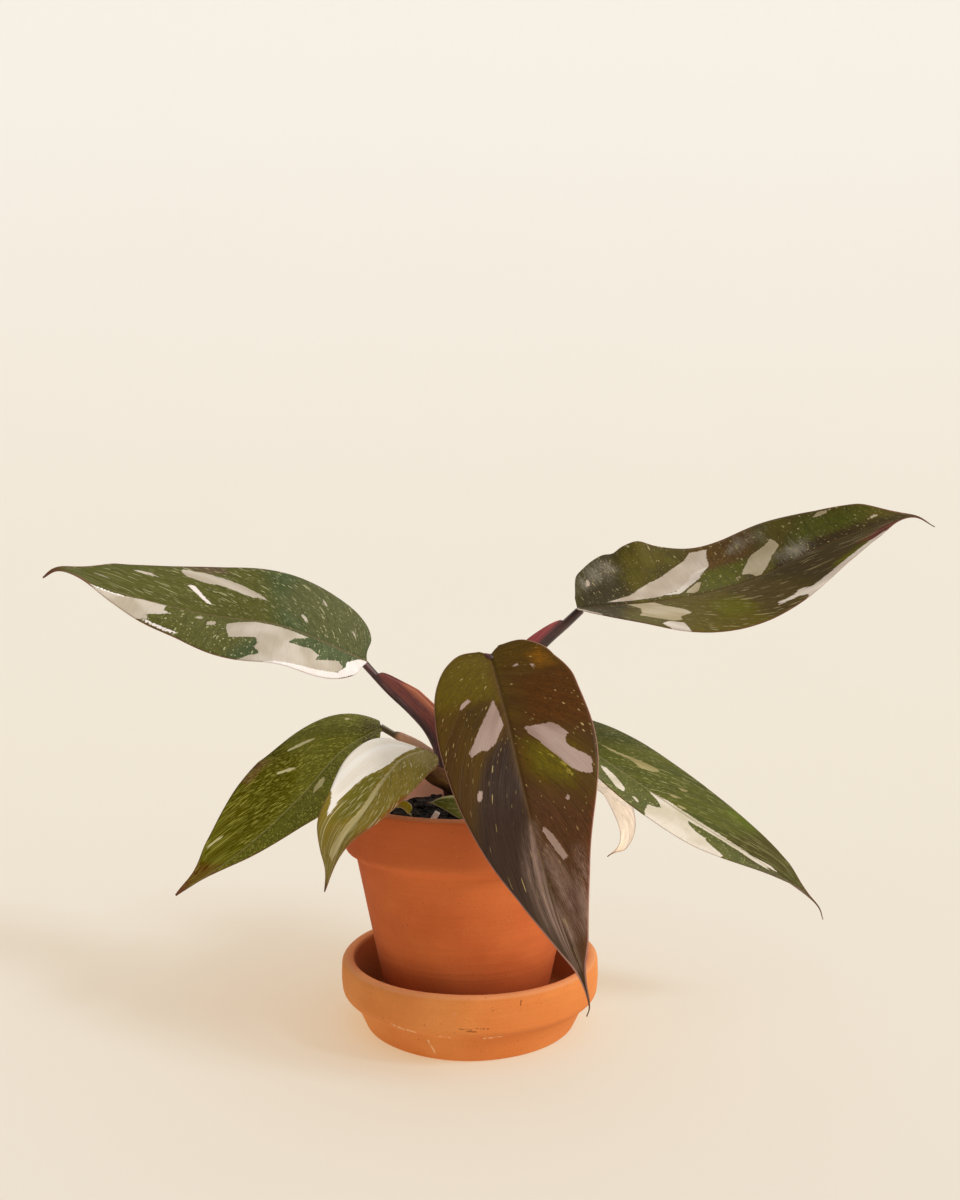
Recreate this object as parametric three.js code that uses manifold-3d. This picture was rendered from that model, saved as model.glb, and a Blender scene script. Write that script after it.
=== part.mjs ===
// A young aroid house plant with variegated leaves, in a terracotta pot that stands on a saucer.
// Millimetres, +Z up. The origin is the centre of the saucer's base, +X runs along the leaf spread
// and -Y is the side that the front leaf hangs over.
import * as THREE from 'three';
import { mergeVertices } from 'three/addons/utils/BufferGeometryUtils.js';
import Module from 'manifold-3d';

const wasm = await Module();
wasm.setup();

// Driving dimensions
const CLEARANCE = 0.3;
const POT_RIM_RADIUS = 57.5;
const POT_RIM_TOP = 104;
const POT_BAND_BOTTOM = 81;
const POT_BASE_RADIUS = 36.5;
const POT_WALL = 5.5;
const POT_BAND_DEPTH = 3.2;
const POT_FLOOR_THICKNESS = 8.2;
const POT_SHIFT = -1.5;
const DRAIN_RADIUS = 6;
const RIM_EDGE = 2;
const FOOT_EDGE = 1;
const SAUCER_RADIUS = 59.8;
const SAUCER_HEIGHT = 31.3;
const SAUCER_BASE_RADIUS = 47.9;
const SAUCER_BAND_BOTTOM = 14.8;
const SAUCER_BAND_DEPTH = 5.5;
const SAUCER_FLOOR = 7;
const SAUCER_LIP = 6.2;
const SAUCER_LIP_EDGE = 2.6;
const SAUCER_INSIDE_SLOPE = 5;
const SOIL_LEVEL = 95;
const SOIL_BUMP = 0.9;
const SOIL_WAVE = 3.5;
const STEM = { x: -2, y: 0, bottom: 62, top: 113, radius: 6.5, rings: [18.5, 10.5], groove: 0.6 };
const BLADE_THICKNESS = 0.8;
const MIDRIB_DEPTH = 1.6;
const MIDRIB_HALF_WIDTH = 1.8;

// Heights and radii that follow from them
const POT_BOTTOM = SAUCER_FLOOR + CLEARANCE;
const POT_INSIDE_FLOOR = POT_BOTTOM + POT_FLOOR_THICKNESS;
const POT_INSIDE_BEND = POT_BAND_BOTTOM - 4;
const POT_RIM_INSIDE = POT_RIM_RADIUS - POT_WALL;

const TURNS = 44;
const SOIL_TURNS = 32;
const STEM_TURNS = 14;
const LARGE_BLADE = {
  rows: 20,
  columns: [-1, -0.78, -0.5, -0.24, -0.06, 0, 0.06, 0.24, 0.5, 0.78, 1],
};
const SMALL_BLADE = { rows: 9, columns: [-1, -0.5, 0, 0.5, 1] };
const TUBE_STEPS = 12;

// Half of a leaf's outline: distance along the midrib as a share of its length, and distance from
// it as a share of the half-width. It starts in the notch where the stalk joins.
const OUTLINE = [
  [0, 0.15], [0.01, 0.5], [0.07, 0.8], [0.15, 0.95], [0.26, 1], [0.4, 0.95],
  [0.54, 0.8], [0.68, 0.57], [0.8, 0.34], [0.9, 0.14], [1, 0.012],
];
const VEIN_START_POWER = 1.6;
const WIDEST_ROW = 0.4;
const TAIL = { from: 0.82, to: 0.94, narrowing: 0.85, least: 0.5 };

// A stalk's section: an arc below, and above it a channel between two wings
const ARC_DEGREES = [-8, -49, -90, -131, -172];
const CHANNEL_BOTTOM = 0.2;
const CHANNEL_TOP = 0.25;
const WING_THICKNESS = 1.1;
const WING_RISE_SHARE = 0.12;
const WING_TIP_SHARE = 0.25;

const COLOURS = { terracotta: 0xb8602e, stem: 0x5a3428, soil: 0x1c1814 };

// Each leaf: its midrib, the way its upper face looks at the base, middle and tip, and for its
// right and left halves the half-width, the fold up from flat and the curl towards the margin in
// degrees, how far the lobe at the base reaches back as a share of the length, how slim the half
// runs out, where 1 is the common outline and more is slimmer, and how high the margin's waves
// lift it.
const LEAVES = {
  upper_left: {
    colour: 0x4a5a30,
    midrib: [
      [-49, 4, 166.5], [-89, 6, 183], [-128.5, 9.5, 189], [-166.5, 5, 199], [-192, 1.5, 209.5],
      [-200.7, 0, 206.8],
    ],
    facing: [[0, -0.38, 0.9], [-0.09, -0.53, 0.83], [0, -0.67, 0.72]],
    right: {
      width: 36, fold: [7, 17, 2], curl: -9, lobe: -0.02, slim: 0.7,
      waves: [[0.18, 0.12, -1.9], [0.42, 0.12, 1], [0.68, 0.12, -0.7]],
    },
    left: {
      width: 37, fold: [7, 14, 18], curl: -22, lobe: 0, slim: 1.75,
      waves: [[0.18, 0.12, 6], [0.42, 0.12, 0.5], [0.68, 0.12, -4.5]],
    },
  },
  upper_right: {
    colour: 0x4a4a28,
    midrib: [
      [52, 18, 191.5], [96, 12, 195.7], [129.5, 6, 203.5], [170, -4, 223], [205, -6, 234.4],
      [216, -5, 229.7],
    ],
    facing: [[-0.07, -0.52, 0.9], [0.21, -0.66, 0.64], [0.13, -0.79, 0.62]],
    right: {
      width: 37, fold: [30, 17, 32], curl: -8, lobe: 0, slim: 1.35,
      waves: [[0.18, 0.12, 3.2], [0.68, 0.12, -3.2]],
    },
    left: {
      width: 49, fold: [5, -22, 17], curl: 15, lobe: 0, slim: 0.98,
      waves: [[0.18, 0.12, 7], [0.17, 0.05, 1.5], [0.68, 0.12, -2.8]],
    },
  },
  front: {
    colour: 0x443018,
    midrib: [
      [8.8, -45, 172], [15.5, -72.5, 147.5], [22, -91, 119.2], [31, -92, 86.2], [46, -92.5, 41],
      [45.2, -91, 36.7],
    ],
    facing: [[-0.05, -0.77, 0.63], [0, -0.96, 0.25], [0.38, -0.92, 0]],
    right: { width: 29, fold: [10, 14, 40], curl: -9, lobe: 0.016, slim: 1.35, waves: [] },
    left: { width: 32, fold: [16, -1, 16], curl: -7, lobe: 0.024, slim: 1.2, waves: [] },
  },
  lower_left: {
    colour: 0x44602c,
    midrib: [
      [-41.8, 6, 135.4], [-60.5, 5, 124.2], [-80, -3, 102.8], [-104, -15, 81.1],
      [-130.4, -27.4, 64.5],
    ],
    facing: [[-0.11, -0.22, 0.92], [-0.59, -0.84, 0.19], [-0.36, -0.9, 0.22]],
    right: { width: 33, fold: [-5, 15, 15], curl: -18, lobe: -0.01, slim: 0.85, waves: [] },
    left: {
      width: 31, fold: [8, 30, 28], curl: -13, lobe: 0.03, slim: 2.2,
      waves: [[0.68, 0.12, -1.4]],
    },
  },
  low_front_left: {
    colour: 0x8a8a58,
    midrib: [
      [-18.7, -42, 131.4], [-29.2, -51.5, 128], [-42, -65, 110.2], [-50, -69, 100],
      [-58.4, -67, 77.4],
    ],
    facing: [[-0.1, -0.48, 0.88], [-0.38, -0.75, 0.49], [-0.74, -0.61, 0.21]],
    right: {
      width: 22, fold: [-3, 16, 4], curl: -12, lobe: -0.03, slim: 0.8,
      waves: [[0.18, 0.12, -1], [0.42, 0.12, -1], [0.68, 0.12, 1.8]],
    },
    left: { width: 18, fold: [10, 23, 28], curl: -16, lobe: -0.006, slim: 1.65, waves: [] },
  },
  lower_right: {
    colour: 0x4c6830,
    midrib: [
      [45.6, 10, 131], [77, 7, 110.3], [106, 7.5, 90.5], [143.5, 6, 67.1], [165, 5.5, 50.2],
      [167.3, 5, 44],
    ],
    facing: [[0.07, -0.4, 0.92], [0.12, -0.59, 0.76], [0.14, -0.5, 0.85]],
    right: { width: 33, fold: [26, 27, 55], curl: 0, lobe: 0.03, slim: 0.73, waves: [] },
    left: { width: 29, fold: [8, 7, 7], curl: -19, lobe: 0.035, slim: 0.81, waves: [] },
  },
  dried: {
    colour: 0xe8dcc8, small: true,
    midrib: [
      [57, 4, 108.5], [64, 4, 105.5], [70, 4, 97.5], [73, 3.5, 88], [71.3, 3, 80], [64.5, 2, 74.6],
    ],
    facing: [[0.2, -0.6, 0.8], [0.3, -0.95, 0.1], [0.2, -1, -0.3]],
    right: { width: 7, fold: [25, 30, 40], curl: 20, lobe: 0, slim: 0.8, waves: [] },
    left: { width: 7, fold: [25, 30, 40], curl: 20, lobe: 0, slim: 0.8, waves: [] },
  },
  soil_leaf: {
    colour: 0x4a5a20, small: true,
    midrib: [[6, -29, 101.5], [-3, -30, 104.5], [-11, -30.5, 106.5], [-19, -30, 106.3]],
    facing: [[0, -0.6, 0.8], [0, -0.7, 0.7], [0, -0.7, 0.7]],
    right: { width: 5, fold: [10, 15, 10], curl: 0, lobe: 0, slim: 1, waves: [] },
    left: { width: 7, fold: [0, 5, 5], curl: 0, lobe: 0, slim: 1, waves: [] },
  },
  sprout: {
    colour: 0x9a9a50, small: true,
    midrib: [[-26, -36, 103], [-29, -36.5, 105.5], [-33, -37, 106], [-37, -36, 104.5]],
    facing: [[0, -0.5, 0.8], [0, -0.5, 0.8], [0, -0.5, 0.8]],
    right: { width: 3, fold: [30, 35, 30], curl: 0, lobe: 0, slim: 1, waves: [] },
    left: { width: 3, fold: [30, 35, 30], curl: 0, lobe: 0, slim: 1, waves: [] },
  },
};

// Each stalk runs from the stem, or from the soil, to its blade. radius is at its base, middle and
// end, inner is the way its channelled side looks, and wing is the sheath: where it starts and
// stops as a share of the route, and how high it stands.
const STALKS = {
  upper_left: {
    colour: 0x5e2420,
    route: [
      [-6, -1, 102], [-10.5, -2, 118], [-14.5, -1, 128], [-19.8, 0, 136.3], [-27.6, 1, 144.2],
      [-38.4, 3, 153.7], [-50, 4, 166.2],
    ],
    radius: [4, 3, 2.4], inner: [0.7, -0.2, 0.7], wing: { from: 0.2, to: 0.9, height: 8 },
  },
  upper_right: {
    colour: 0x5e2420,
    route: [
      [-1, 2, 102], [3, 3, 120], [11, 5, 145], [22, 8, 162], [34.7, 11, 176], [45.2, 15, 185],
      [52.5, 18, 191.5],
    ],
    radius: [4, 3, 2.6], inner: [-0.7, 0, 0.7], wing: { from: 0.2, to: 0.9, height: 6 },
  },
  front: {
    colour: 0x5a2a20,
    route: [[0, -4, 102], [3, -16, 132], [7, -33, 158], [9, -45.5, 172.5]],
    radius: [4, 3, 2.4], inner: [0, 0.7, 0.7], wing: { from: 0.2, to: 0.7, height: 3 },
  },
  low_front_left: {
    colour: 0x6a4626,
    route: [
      [-3, -3, 102], [-9.3, -10, 108.5], [-15.3, -20, 115], [-19.5, -31, 122.5],
      [-18.5, -42.5, 131.8],
    ],
    radius: [5, 3, 2], inner: [0.5, 0.3, 0.8], wing: { from: 0.15, to: 0.5, height: 1.2 },
  },
  lower_left: {
    colour: 0x9a6444,
    route: [[-3, 2, 103], [-12, 3, 115.5], [-25, 5, 125], [-35, 6, 131.5], [-42.5, 6, 136]],
    radius: [3.4, 1.9, 1.7], inner: [0.4, 0, 0.9], wing: { from: 0.2, to: 0.88, height: 2.2 },
  },
  lower_right: {
    colour: 0x6a4626,
    route: [[2, 2, 102], [14, 4, 114], [30, 8, 126], [46, 10, 131.5]],
    radius: [3.4, 2.6, 2], inner: [-0.4, 0, 0.9], wing: { from: 0.2, to: 0.7, height: 2 },
  },
  dried: {
    colour: 0xb99a6a,
    route: [[2, -3, 100], [20, -2, 103.5], [40, 1, 107.5], [57.5, 4, 108.7]],
    radius: [2, 1.5, 1.1], inner: [0, 0, 1], wing: null,
  },
  soil_leaf: {
    colour: 0x6b6a3a,
    route: [[11, -26, 88], [10.5, -27, 96], [6.5, -29, 101.3]],
    radius: [1.3, 1.1, 1], inner: [0, -1, 0.2], wing: null,
  },
  sprout: {
    colour: 0x8a8448,
    route: [[-24, -36, 88], [-24.5, -36, 96], [-26, -36, 102.5]],
    radius: [1.1, 0.9, 0.8], inner: [-1, 0, 0.2], wing: null,
  },
};

// The end of an old leaf's stalk, cut off near the soil
const STUB = {
  colour: 0xd8b8a8,
  route: [[-17.5, -39, 88], [-16.8, -39, 97], [-13.2, -38.5, 103.6]],
  radius: [2.2, 2, 1.9], inner: [1, 0, 0.2], wing: null,
};

// Solids

function solidOf(geometry) {
  const bare = geometry.index ? geometry.toNonIndexed() : geometry.clone();
  const points = new THREE.BufferGeometry().setAttribute('position', bare.getAttribute('position'));
  const merged = mergeVertices(points, 1e-3);
  return new wasm.Manifold(new wasm.Mesh({
    numProp: 3,
    vertProperties: new Float32Array(merged.attributes.position.array),
    triVerts: new Uint32Array(merged.index.array),
  }));
}

function geometryOf(solid) {
  const mesh = solid.getMesh();
  const position = new Float32Array(mesh.numVert * 3);
  for (let i = 0; i < mesh.numVert; i++) {
    const start = i * mesh.numProp;
    position.set(mesh.vertProperties.subarray(start, start + 3), i * 3);
  }
  const geometry = new THREE.BufferGeometry();
  geometry.setAttribute('position', new THREE.BufferAttribute(position, 3));
  geometry.setIndex(new THREE.BufferAttribute(new Uint32Array(mesh.triVerts), 1));
  return geometry;
}

function largestBody(solid) {
  return solid.decompose().sort((a, b) => b.volume() - a.volume())[0];
}

function lathe(profile, turns = TURNS) {
  const points = profile.map(([radius, height]) => new THREE.Vector2(radius, height));
  return new THREE.LatheGeometry(points, turns).rotateX(Math.PI / 2);
}

// A closed skin over rows of points: every row has the same count and closes on itself.
function skinOverRings(rings) {
  const count = rings[0].length;
  const position = rings.flat().flatMap((p) => [p.x, p.y, p.z]);
  const index = [];
  for (let i = 0; i + 1 < rings.length; i++) {
    for (let j = 0; j < count; j++) {
      const a = i * count + j;
      const b = i * count + ((j + 1) % count);
      index.push(a, b, a + count, b, b + count, a + count);
    }
  }
  for (const [row, turn] of [[0, 1], [rings.length - 1, -1]]) {
    const centre = rings[row].reduce((sum, p) => sum.add(p), new THREE.Vector3());
    centre.divideScalar(count);
    const hub = position.length / 3;
    position.push(centre.x, centre.y, centre.z);
    for (let j = 0; j < count; j++) {
      const a = row * count + j;
      const b = row * count + ((j + 1) % count);
      index.push(...(turn > 0 ? [hub, b, a] : [hub, a, b]));
    }
  }
  const geometry = new THREE.BufferGeometry();
  geometry.setAttribute('position', new THREE.Float32BufferAttribute(position, 3));
  geometry.setIndex(index);
  return geometry;
}

// Curves

const vectorOf = ([x, y, z]) => new THREE.Vector3(x, y, z);

function curveThrough(points) {
  return new THREE.CatmullRomCurve3(points.map(vectorOf), false, 'centripetal');
}

// The value at a share of the length, from its values at the base, middle and tip.
function alongLeaf([base, middle, tip], share) {
  const x = THREE.MathUtils.clamp(share, 0, 1);
  return base * 2 * (x - 0.5) * (x - 1) - middle * 4 * x * (x - 1) + tip * 2 * x * (x - 0.5);
}

// Leaf blades

const outlineCurve = new THREE.CatmullRomCurve3(
  OUTLINE.map(([along, across]) => new THREE.Vector3(along, across, 0)), false, 'centripetal');

// A point of the blade and the way the upper face looks there. row runs from the notch to the tip
// and side from -1, the left margin, to 1, the right margin. grow moves the edges outward.
function bladePoint(leaf, curve, row, side, grow) {
  const half = side < 0 ? leaf.left : leaf.right;
  const reach = Math.abs(side);
  const rim = outlineCurve.getPoint(row);
  rim.x -= half.lobe * (1 - THREE.MathUtils.smoothstep(row, 0, WIDEST_ROW));
  if (row > WIDEST_ROW) rim.y **= half.slim;
  rim.y *= 1 - TAIL.narrowing * THREE.MathUtils.smoothstep(row, TAIL.from, TAIL.to);
  const start = row ** VEIN_START_POWER;
  const along = start + (rim.x - start) * reach - grow * (1 - 2 * row) / curve.getLength();
  const across = (Math.max(rim.y * half.width, TAIL.least) + grow) * reach;
  const onCurve = THREE.MathUtils.clamp(along, 0, 1);
  const forward = curve.getTangentAt(onCurve);
  const place = curve.getPointAt(onCurve)
    .addScaledVector(forward, Math.min(along, 0) * curve.getLength());
  const up = new THREE.Vector3(...[0, 1, 2].map(
    (axis) => alongLeaf(leaf.facing.map((v) => v[axis]), along)));
  up.addScaledVector(forward, -up.dot(forward)).normalize();
  const right = new THREE.Vector3().crossVectors(forward, up);
  const turn = THREE.MathUtils.degToRad(
    alongLeaf(half.fold, along) + half.curl * (across / half.width) / 2);
  let lift = across * Math.sin(turn);
  for (const [share, spread, height] of half.waves) {
    lift += height * Math.exp(-(((along - share) / spread) ** 2)) * reach ** 2;
  }
  place.addScaledVector(right, Math.sign(side) * across * Math.cos(turn));
  place.addScaledVector(up, lift);
  return { place, up };
}

// How far the midrib stands out under the blade
function ribDepth(leaf, row, side) {
  if (leaf.small) return 0;
  const fromMidrib = Math.abs(side) * (side < 0 ? leaf.left : leaf.right).width;
  return MIDRIB_DEPTH * (1 - row) * Math.exp(-((fromMidrib / MIDRIB_HALF_WIDTH) ** 2));
}

function blade(leaf, grow = 0) {
  const curve = curveThrough(leaf.midrib);
  const grid = leaf.small ? SMALL_BLADE : LARGE_BLADE;
  const rows = [];
  for (let i = 0; i <= grid.rows; i++) {
    const row = i / grid.rows;
    const upper = [];
    const lower = [];
    for (const side of grid.columns) {
      const { place, up } = bladePoint(leaf, curve, row, side, grow);
      const half = BLADE_THICKNESS / 2 + grow;
      upper.push(place.clone().addScaledVector(up, half));
      lower.push(place.clone().addScaledVector(up, -half - ribDepth(leaf, row, side)));
    }
    rows.push([...upper, ...lower.reverse()]);
  }
  return skinOverBlade(rows, grid.columns.length);
}

// The skin of a blade: each row holds the upper face's points and then the lower face's, back
// again. Both faces are cut into triangles along the same diagonals.
function skinOverBlade(rows, columns) {
  const count = 2 * columns;
  const position = rows.flat().flatMap((p) => [p.x, p.y, p.z]);
  const index = [];
  for (let i = 0; i + 1 < rows.length; i++) {
    for (let j = 0; j < count; j++) {
      const a = i * count + j;
      const b = i * count + ((j + 1) % count);
      const c = b + count;
      const d = a + count;
      index.push(...(j < columns ? [a, b, c, a, c, d] : [a, b, d, b, c, d]));
    }
  }
  const last = (rows.length - 1) * count;
  for (let j = 0; j + 1 < columns; j++) {
    const under = count - 1 - j;
    index.push(j, under, under - 1, j, under - 1, j + 1);
    index.push(last + j, last + under - 1, last + under, last + j, last + j + 1, last + under - 1);
  }
  const geometry = new THREE.BufferGeometry();
  geometry.setAttribute('position', new THREE.Float32BufferAttribute(position, 3));
  geometry.setIndex(index);
  return geometry;
}

// Stalks

// The height of a stalk's two wings: they rise towards the stem end and stop in a free tip.
function wingHeight(wing, share) {
  if (!wing) return 0;
  const rise = THREE.MathUtils.smoothstep(
    share, wing.from - WING_RISE_SHARE, wing.from + WING_RISE_SHARE);
  const left = THREE.MathUtils.clamp((wing.to - share) / WING_TIP_SHARE, 0, 1);
  return wing.height * rise * Math.sqrt(left);
}

// A stalk along a route: round below, with a shallow channel above between its two wings.
function stalk({ route, radius, inner, wing }, grow = 0) {
  const curve = curveThrough(route);
  const innerWay = vectorOf(inner);
  const rings = [];
  for (let i = 0; i <= TUBE_STEPS; i++) {
    const share = i / TUBE_STEPS;
    const centre = curve.getPointAt(share);
    const forward = curve.getTangentAt(share);
    if (i === 0) centre.addScaledVector(forward, -grow);
    if (i === TUBE_STEPS) centre.addScaledVector(forward, grow);
    const up = innerWay.clone().addScaledVector(forward, -innerWay.dot(forward)).normalize();
    const side = new THREE.Vector3().crossVectors(forward, up);
    const round = alongLeaf(radius, share) + grow;
    const top = CHANNEL_TOP * round + wingHeight(wing, share);
    const thick = Math.min(WING_THICKNESS + 2 * grow, 0.6 * round);
    const section = ARC_DEGREES.map((degrees) => {
      const angle = THREE.MathUtils.degToRad(degrees);
      return [round * Math.cos(angle), round * Math.sin(angle)];
    });
    section.push([-round, top], [thick - round, top], [0, CHANNEL_BOTTOM * round + grow]);
    section.push([round - thick, top], [round, top]);
    rings.push(section.map(([x, y]) => centre.clone()
      .addScaledVector(side, x).addScaledVector(up, y)));
  }
  return skinOverRings(rings);
}

// Pot, saucer, soil and stem

const shifted = (geometry) => geometry.translate(POT_SHIFT, 0, 0);

// Three points round an upper edge. inward is 1 where the wall lies nearer the axis, or else -1.
function roundedEdge(radius, top, size, inward) {
  const bevel = size * (1 - Math.SQRT1_2);
  return [[radius, top - size], [radius - inward * bevel, top - bevel], [radius - inward * size, top]];
}

// The outside of the pot's wall, below its rim band
function potWallRadius(height) {
  const rise = (height - POT_BOTTOM) / (POT_BAND_BOTTOM - POT_BOTTOM);
  return THREE.MathUtils.lerp(POT_BASE_RADIUS, POT_RIM_RADIUS - POT_BAND_DEPTH, rise);
}

function pot() {
  const under = POT_BAND_BOTTOM - RIM_EDGE;
  return shifted(lathe([
    [DRAIN_RADIUS, POT_BOTTOM],
    [POT_BASE_RADIUS - FOOT_EDGE, POT_BOTTOM],
    [POT_BASE_RADIUS, POT_BOTTOM + FOOT_EDGE],
    [potWallRadius(under), under],
    [POT_RIM_RADIUS - RIM_EDGE / 2, POT_BAND_BOTTOM],
    [POT_RIM_RADIUS, POT_BAND_BOTTOM + RIM_EDGE],
    ...roundedEdge(POT_RIM_RADIUS, POT_RIM_TOP, RIM_EDGE, 1),
    ...roundedEdge(POT_RIM_INSIDE, POT_RIM_TOP, RIM_EDGE, -1).reverse(),
    [potWallRadius(POT_INSIDE_BEND) - POT_WALL, POT_INSIDE_BEND],
    [potWallRadius(POT_INSIDE_FLOOR) - POT_WALL, POT_INSIDE_FLOOR],
    [DRAIN_RADIUS, POT_INSIDE_FLOOR],
    [DRAIN_RADIUS, POT_BOTTOM],
  ]));
}

function saucer() {
  const wallInside = SAUCER_RADIUS - SAUCER_LIP;
  const floorRadius = wallInside - SAUCER_INSIDE_SLOPE;
  return lathe([
    [0, 0],
    [SAUCER_BASE_RADIUS - FOOT_EDGE, 0],
    [SAUCER_BASE_RADIUS, FOOT_EDGE],
    [SAUCER_RADIUS - SAUCER_BAND_DEPTH, SAUCER_BAND_BOTTOM - FOOT_EDGE],
    [SAUCER_RADIUS - FOOT_EDGE, SAUCER_BAND_BOTTOM],
    [SAUCER_RADIUS, SAUCER_BAND_BOTTOM + RIM_EDGE],
    ...roundedEdge(SAUCER_RADIUS, SAUCER_HEIGHT, SAUCER_LIP_EDGE, 1),
    ...roundedEdge(wallInside, SAUCER_HEIGHT, SAUCER_LIP_EDGE, -1).reverse(),
    [floorRadius, SAUCER_FLOOR + RIM_EDGE],
    [floorRadius - RIM_EDGE, SAUCER_FLOOR],
    [0, SAUCER_FLOOR],
  ]);
}

// The soil's gently uneven top, as two waves that cross
function soilTopHeight(x, y) {
  const broad = Math.sin(x / SOIL_WAVE) * Math.cos(y / SOIL_WAVE);
  const narrow = Math.sin((2 * y - x) / SOIL_WAVE);
  return SOIL_LEVEL + SOIL_BUMP * (broad + narrow / 2);
}

// The soil fills the pot to its level, a little clear of the wall.
function soil() {
  const inside = (height) => potWallRadius(height) - POT_WALL - CLEARANCE;
  const low = POT_INSIDE_FLOOR + CLEARANCE;
  const brink = inside(POT_INSIDE_BEND) + 2;
  const topRadii = [brink - 5, 33, 24, 14, 0];
  const geometry = lathe([
    [0, low], [inside(low), low], [inside(POT_INSIDE_BEND), POT_INSIDE_BEND],
    [brink, SOIL_LEVEL - 2 * SOIL_BUMP], ...topRadii.map((radius) => [radius, SOIL_LEVEL]),
  ], SOIL_TURNS);
  const position = geometry.attributes.position;
  for (let i = 0; i < position.count; i++) {
    if (position.getZ(i) < SOIL_LEVEL - CLEARANCE) continue;
    position.setZ(i, soilTopHeight(position.getX(i), position.getY(i)));
  }
  return shifted(geometry);
}

// The short main stem, ringed where old leaves fell
function stem(grow = 0) {
  const { bottom, top, radius, rings, groove } = STEM;
  const r = radius + grow;
  const ringPoints = rings.flatMap((below) => [
    [r - groove, top - below - groove * 2], [r, top - below], [r - groove, top - below + groove * 2],
  ]);
  return lathe([
    [0, bottom - grow], [r - 2 * groove, bottom - grow], [r - groove, bottom + radius], ...ringPoints,
    [r - radius / 3, top - radius / 3], [r - radius / 1.5, top + grow], [0, top + grow],
  ], STEM_TURNS).translate(STEM.x, STEM.y, 0);
}

// Assembly

const part = new THREE.Group();
part.name = 'potted_plant';

function addPiece(name, geometry, colour, roughness = 0.5) {
  const material = new THREE.MeshStandardMaterial({ color: colour, roughness, metalness: 0 });
  const mesh = new THREE.Mesh(geometry, material);
  mesh.name = name;
  part.add(mesh);
}

addPiece('saucer', saucer(), COLOURS.terracotta, 0.9);
addPiece('pot', pot(), COLOURS.terracotta, 0.9);
addPiece('stem', stem(), COLOURS.stem, 0.6);

for (const [name, leaf] of Object.entries(LEAVES)) {
  addPiece(`leaf_${name}`, blade(leaf), leaf.colour, 0.35);
}

// Each stalk is cut clear of the stem, of the stalks before it and of the blade it carries.
const taken = [solidOf(stem(CLEARANCE))];
for (const [name, spec] of Object.entries(STALKS)) {
  const blocks = [...taken, solidOf(blade(LEAVES[name], CLEARANCE))];
  const whole = solidOf(stalk(spec));
  const cut = blocks.reduce((left, block) => left.subtract(block), whole);
  addPiece(`stalk_${name}`, geometryOf(largestBody(cut)), spec.colour, 0.45);
  taken.push(solidOf(stalk(spec, CLEARANCE)));
}

addPiece('old_stalk', stalk(STUB), STUB.colour, 0.6);
taken.push(solidOf(stalk(STUB, CLEARANCE)));

const ground = taken.reduce((left, block) => left.subtract(block), solidOf(soil()));
addPiece('soil', geometryOf(largestBody(ground)), COLOURS.soil, 1);

export default part;
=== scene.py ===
"""A potted aroid with variegated leaves, finished around the fixed frame.

Shapes are worked out in millimetres and made in metres, as the frame is. A leaf is drawn on a
sheet with two directions: row runs from the notch where its stalk joins to the tip, 0 to 1, and
side from the left margin, -1, over the midrib, 0, to the right margin, 1.
"""
import math
import random

import bmesh
import bpy
import numpy as np
from mathutils import Matrix, Vector, noise


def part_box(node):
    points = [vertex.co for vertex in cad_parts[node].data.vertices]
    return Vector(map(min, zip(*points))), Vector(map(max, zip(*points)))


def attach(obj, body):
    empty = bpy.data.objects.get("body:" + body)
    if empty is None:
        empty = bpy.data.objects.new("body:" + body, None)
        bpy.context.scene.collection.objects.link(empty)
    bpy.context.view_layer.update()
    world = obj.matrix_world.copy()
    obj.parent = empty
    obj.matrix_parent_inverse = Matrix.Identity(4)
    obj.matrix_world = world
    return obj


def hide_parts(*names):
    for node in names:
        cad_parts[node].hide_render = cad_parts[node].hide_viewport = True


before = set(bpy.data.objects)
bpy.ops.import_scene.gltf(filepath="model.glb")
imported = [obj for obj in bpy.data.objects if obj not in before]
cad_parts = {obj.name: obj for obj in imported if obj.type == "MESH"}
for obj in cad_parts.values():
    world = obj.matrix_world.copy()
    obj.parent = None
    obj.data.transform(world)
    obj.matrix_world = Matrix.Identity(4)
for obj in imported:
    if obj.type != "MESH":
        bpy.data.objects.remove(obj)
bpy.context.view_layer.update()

MM = 0.001
BODY = "root"


# Smooth values and routes

def smoothstep(value, low, high):
    share = np.clip((np.asarray(value, float) - low) / (high - low), 0, 1)
    return share * share * (3 - 2 * share)


def along_leaf(values, share):
    """The value at a share of the length, from its values at the base, middle and tip."""
    base, middle, tip = (np.asarray(value, float) for value in values)
    x = np.clip(share, 0, 1)
    if base.ndim:
        x = x[:, None]
    return base * 2 * (x - 0.5) * (x - 1) - middle * 4 * x * (x - 1) + tip * 2 * x * (x - 0.5)


def curve_through(points, share):
    """Points of a centripetal Catmull-Rom curve, each span taking an equal part of the share."""
    points = np.asarray(points, float)
    spans = len(points) - 1
    at = np.clip(np.atleast_1d(share), 0, 1) * spans
    first = np.minimum(at.astype(int), spans - 1)
    within = (at - first)[:, None]
    ends = np.vstack([2 * points[0] - points[1], points, 2 * points[-1] - points[-2]])
    a, b, c, d = (ends[first + k] for k in range(4))

    def gap(p, q):
        return np.maximum(((p - q) ** 2).sum(1) ** 0.25, 1e-4)[:, None]

    before, between, after = gap(a, b), gap(b, c), gap(c, d)
    leave = (b - a) / before - (c - a) / (before + between) + (c - b) / between
    reach = (c - b) / between - (d - b) / (between + after) + (d - c) / after
    leave *= between
    reach *= between
    return (b + leave * within + (3 * (c - b) - 2 * leave - reach) * within ** 2
            + (2 * (b - c) + leave + reach) * within ** 3)


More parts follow.
